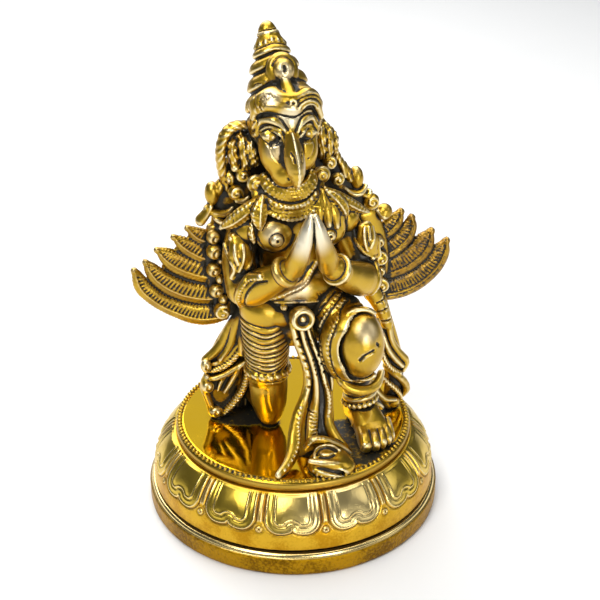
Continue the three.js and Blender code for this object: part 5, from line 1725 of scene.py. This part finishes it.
def paleFloor():
    reach = 3.0
    corners = np.array([(-reach, -reach, 0), (reach, -reach, 0), (reach, reach, 0), (-reach, reach, 0)])
    floor = newMesh("studioFloor", corners, np.array([[0, 1, 2, 3]]))
    material, tree, shader = newFinish("paleFloor")
    tone = mixColour(tree, noise(tree, objectPlace(tree), 8, 2), (0.86, 0.86, 0.85), (0.9, 0.9, 0.89))
    feed(tree, shader, {"Base Color": tone, "Roughness": 0.6})
    floor.data.materials.append(material)
    return floor


lamps = [
    {"name": "keyLight", "place": (-0.35, -0.35, 0.62), "size": 0.3, "power": 2.8},
    {"name": "rightLight", "place": (0.55, -0.30, 0.40), "size": 0.26, "power": 0.45},
    {"name": "topLight", "place": (0.05, 0.25, 0.85), "size": 0.8, "power": 7.5},
    {"name": "farPanel", "place": (0.24, 1.0, 0.50), "size": 0.5, "power": 0.6},
    {"name": "backLight", "place": (-0.25, 0.7, 0.6), "size": 0.5, "power": 3.2},
    {"name": "frontLight", "place": (0.225, -1.2, 0.21), "size": 0.39, "power": 4.8},
]


def studioLights():
    for lamp in lamps:
        light = bpy.data.lights.new(lamp["name"], "AREA")
        light.shape = "RECTANGLE"
        light.size = lamp["size"]
        light.size_y = lamp["size"] * 1.3
        light.energy = lamp["power"]
        holder = bpy.data.objects.new(lamp["name"], light)
        holder.location = lamp["place"]
        aim = Vector((0, 0, 0.06)) - Vector(lamp["place"])
        holder.rotation_euler = aim.to_track_quat("-Z", "Y").to_euler()
        bpy.context.scene.collection.objects.link(holder)
    world = bpy.data.worlds.new("studio")
    world.use_nodes = True
    tree = world.node_tree
    feed(tree, tree.nodes["Background"], {"Color": (0.75, 0.8, 0.9), "Strength": 0.12})
    bpy.context.scene.world = world
    bpy.context.scene.view_settings.view_transform = "Standard"


view = {"azimuth": -14.0, "elevation": 27.1, "distance": 322.7, "aimHeight": 62.27, "aimRight": 2.03,
        "lens": 69.0}


def photographersCamera():
    azimuth, elevation = math.radians(view["azimuth"]), math.radians(view["elevation"])
    aim = Vector((math.cos(azimuth) * view["aimRight"], math.sin(azimuth) * view["aimRight"],
                  view["aimHeight"]))
    away = Vector((math.cos(elevation) * math.sin(azimuth), -math.cos(elevation) * math.cos(azimuth),
                   math.sin(elevation)))
    camera = bpy.data.objects.new("camera", bpy.data.cameras.new("camera"))
    camera.data.lens = view["lens"]
    camera.data.sensor_width = 36
    camera.data.clip_start = 0.01
    camera.location = (aim + away * view["distance"]) * mm
    camera.rotation_euler = (-away).to_track_quat("-Z", "Y").to_euler()
    bpy.context.scene.collection.objects.link(camera)
    bpy.context.scene.camera = camera


# Building

photographersCamera()
studioLights()
floor = paleFloor()
report("studio")

clays = {"headAndCrown": headClay()}
report("head")
clays["hairAndBeads"] = hairClay()
wingBeads(clays["hairAndBeads"])
report("hair")
clays["bodyAndCape"] = torsoClay()
clays["armsAndHands"] = armsClay()
report("body")
clays["rightWing"] = wingClay("right")
clays["leftWing"] = wingClay("left")
report("wings")
clays["hipsAndLegs"] = legsClay()
report("legs")
clays["sash"] = sashClay()
clays["sideDrapes"] = drapesClay()
clays["hairMantle"] = mantleClay()
report("cloth and mantle")
hollows = feltHollows(clays.values(), (-48, -48, -3), (49.2, 48, 118))
report("hollows")


def keep(piece, node, material=None):
    if material is not None:
        piece.data.materials.append(material)
    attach(piece, "root")
    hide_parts(node)
    report(f"{piece.name} {sum(len(face.vertices) - 2 for face in piece.data.polygons)}")


brass = figureBrass()
crestPolishAndHighlight = {"rightWing": (0.4, 0.16), "leftWing": (0.3, 0.24), "hairAndBeads": (0.85, 0.03)}  # crest polish and painted highlight strength, and share added to the hollows
for name, clay in clays.items():
    keep(cast(name, clay, hollows, *crestPolishAndHighlight.get(name, (1.0, 0.0))), "garuda_figure", brass)
keep(plate(hollows), "garuda_figure", plateBrass())
rope = grown("plateRope", beadTree(), {
    "Radius": (pedestalSizes["plateRadius"] - 1.0) * mm, "Height": (plateTop + 0.02) * mm, "Count": 128,
    "Turn": 0.4, "Bead Size": (0.74 * mm, 0.52 * mm, 0.5 * mm), "Bead Angle": (0.0, 0.0, 0.6),
    "Unevenness": 0.12, "Material": brass})
keep(rope, "garuda_figure")
keep(lotusDome(), "lotus_pedestal", domeBrass())
keep(pedestalFoot(), "lotus_pedestal", footBrass())
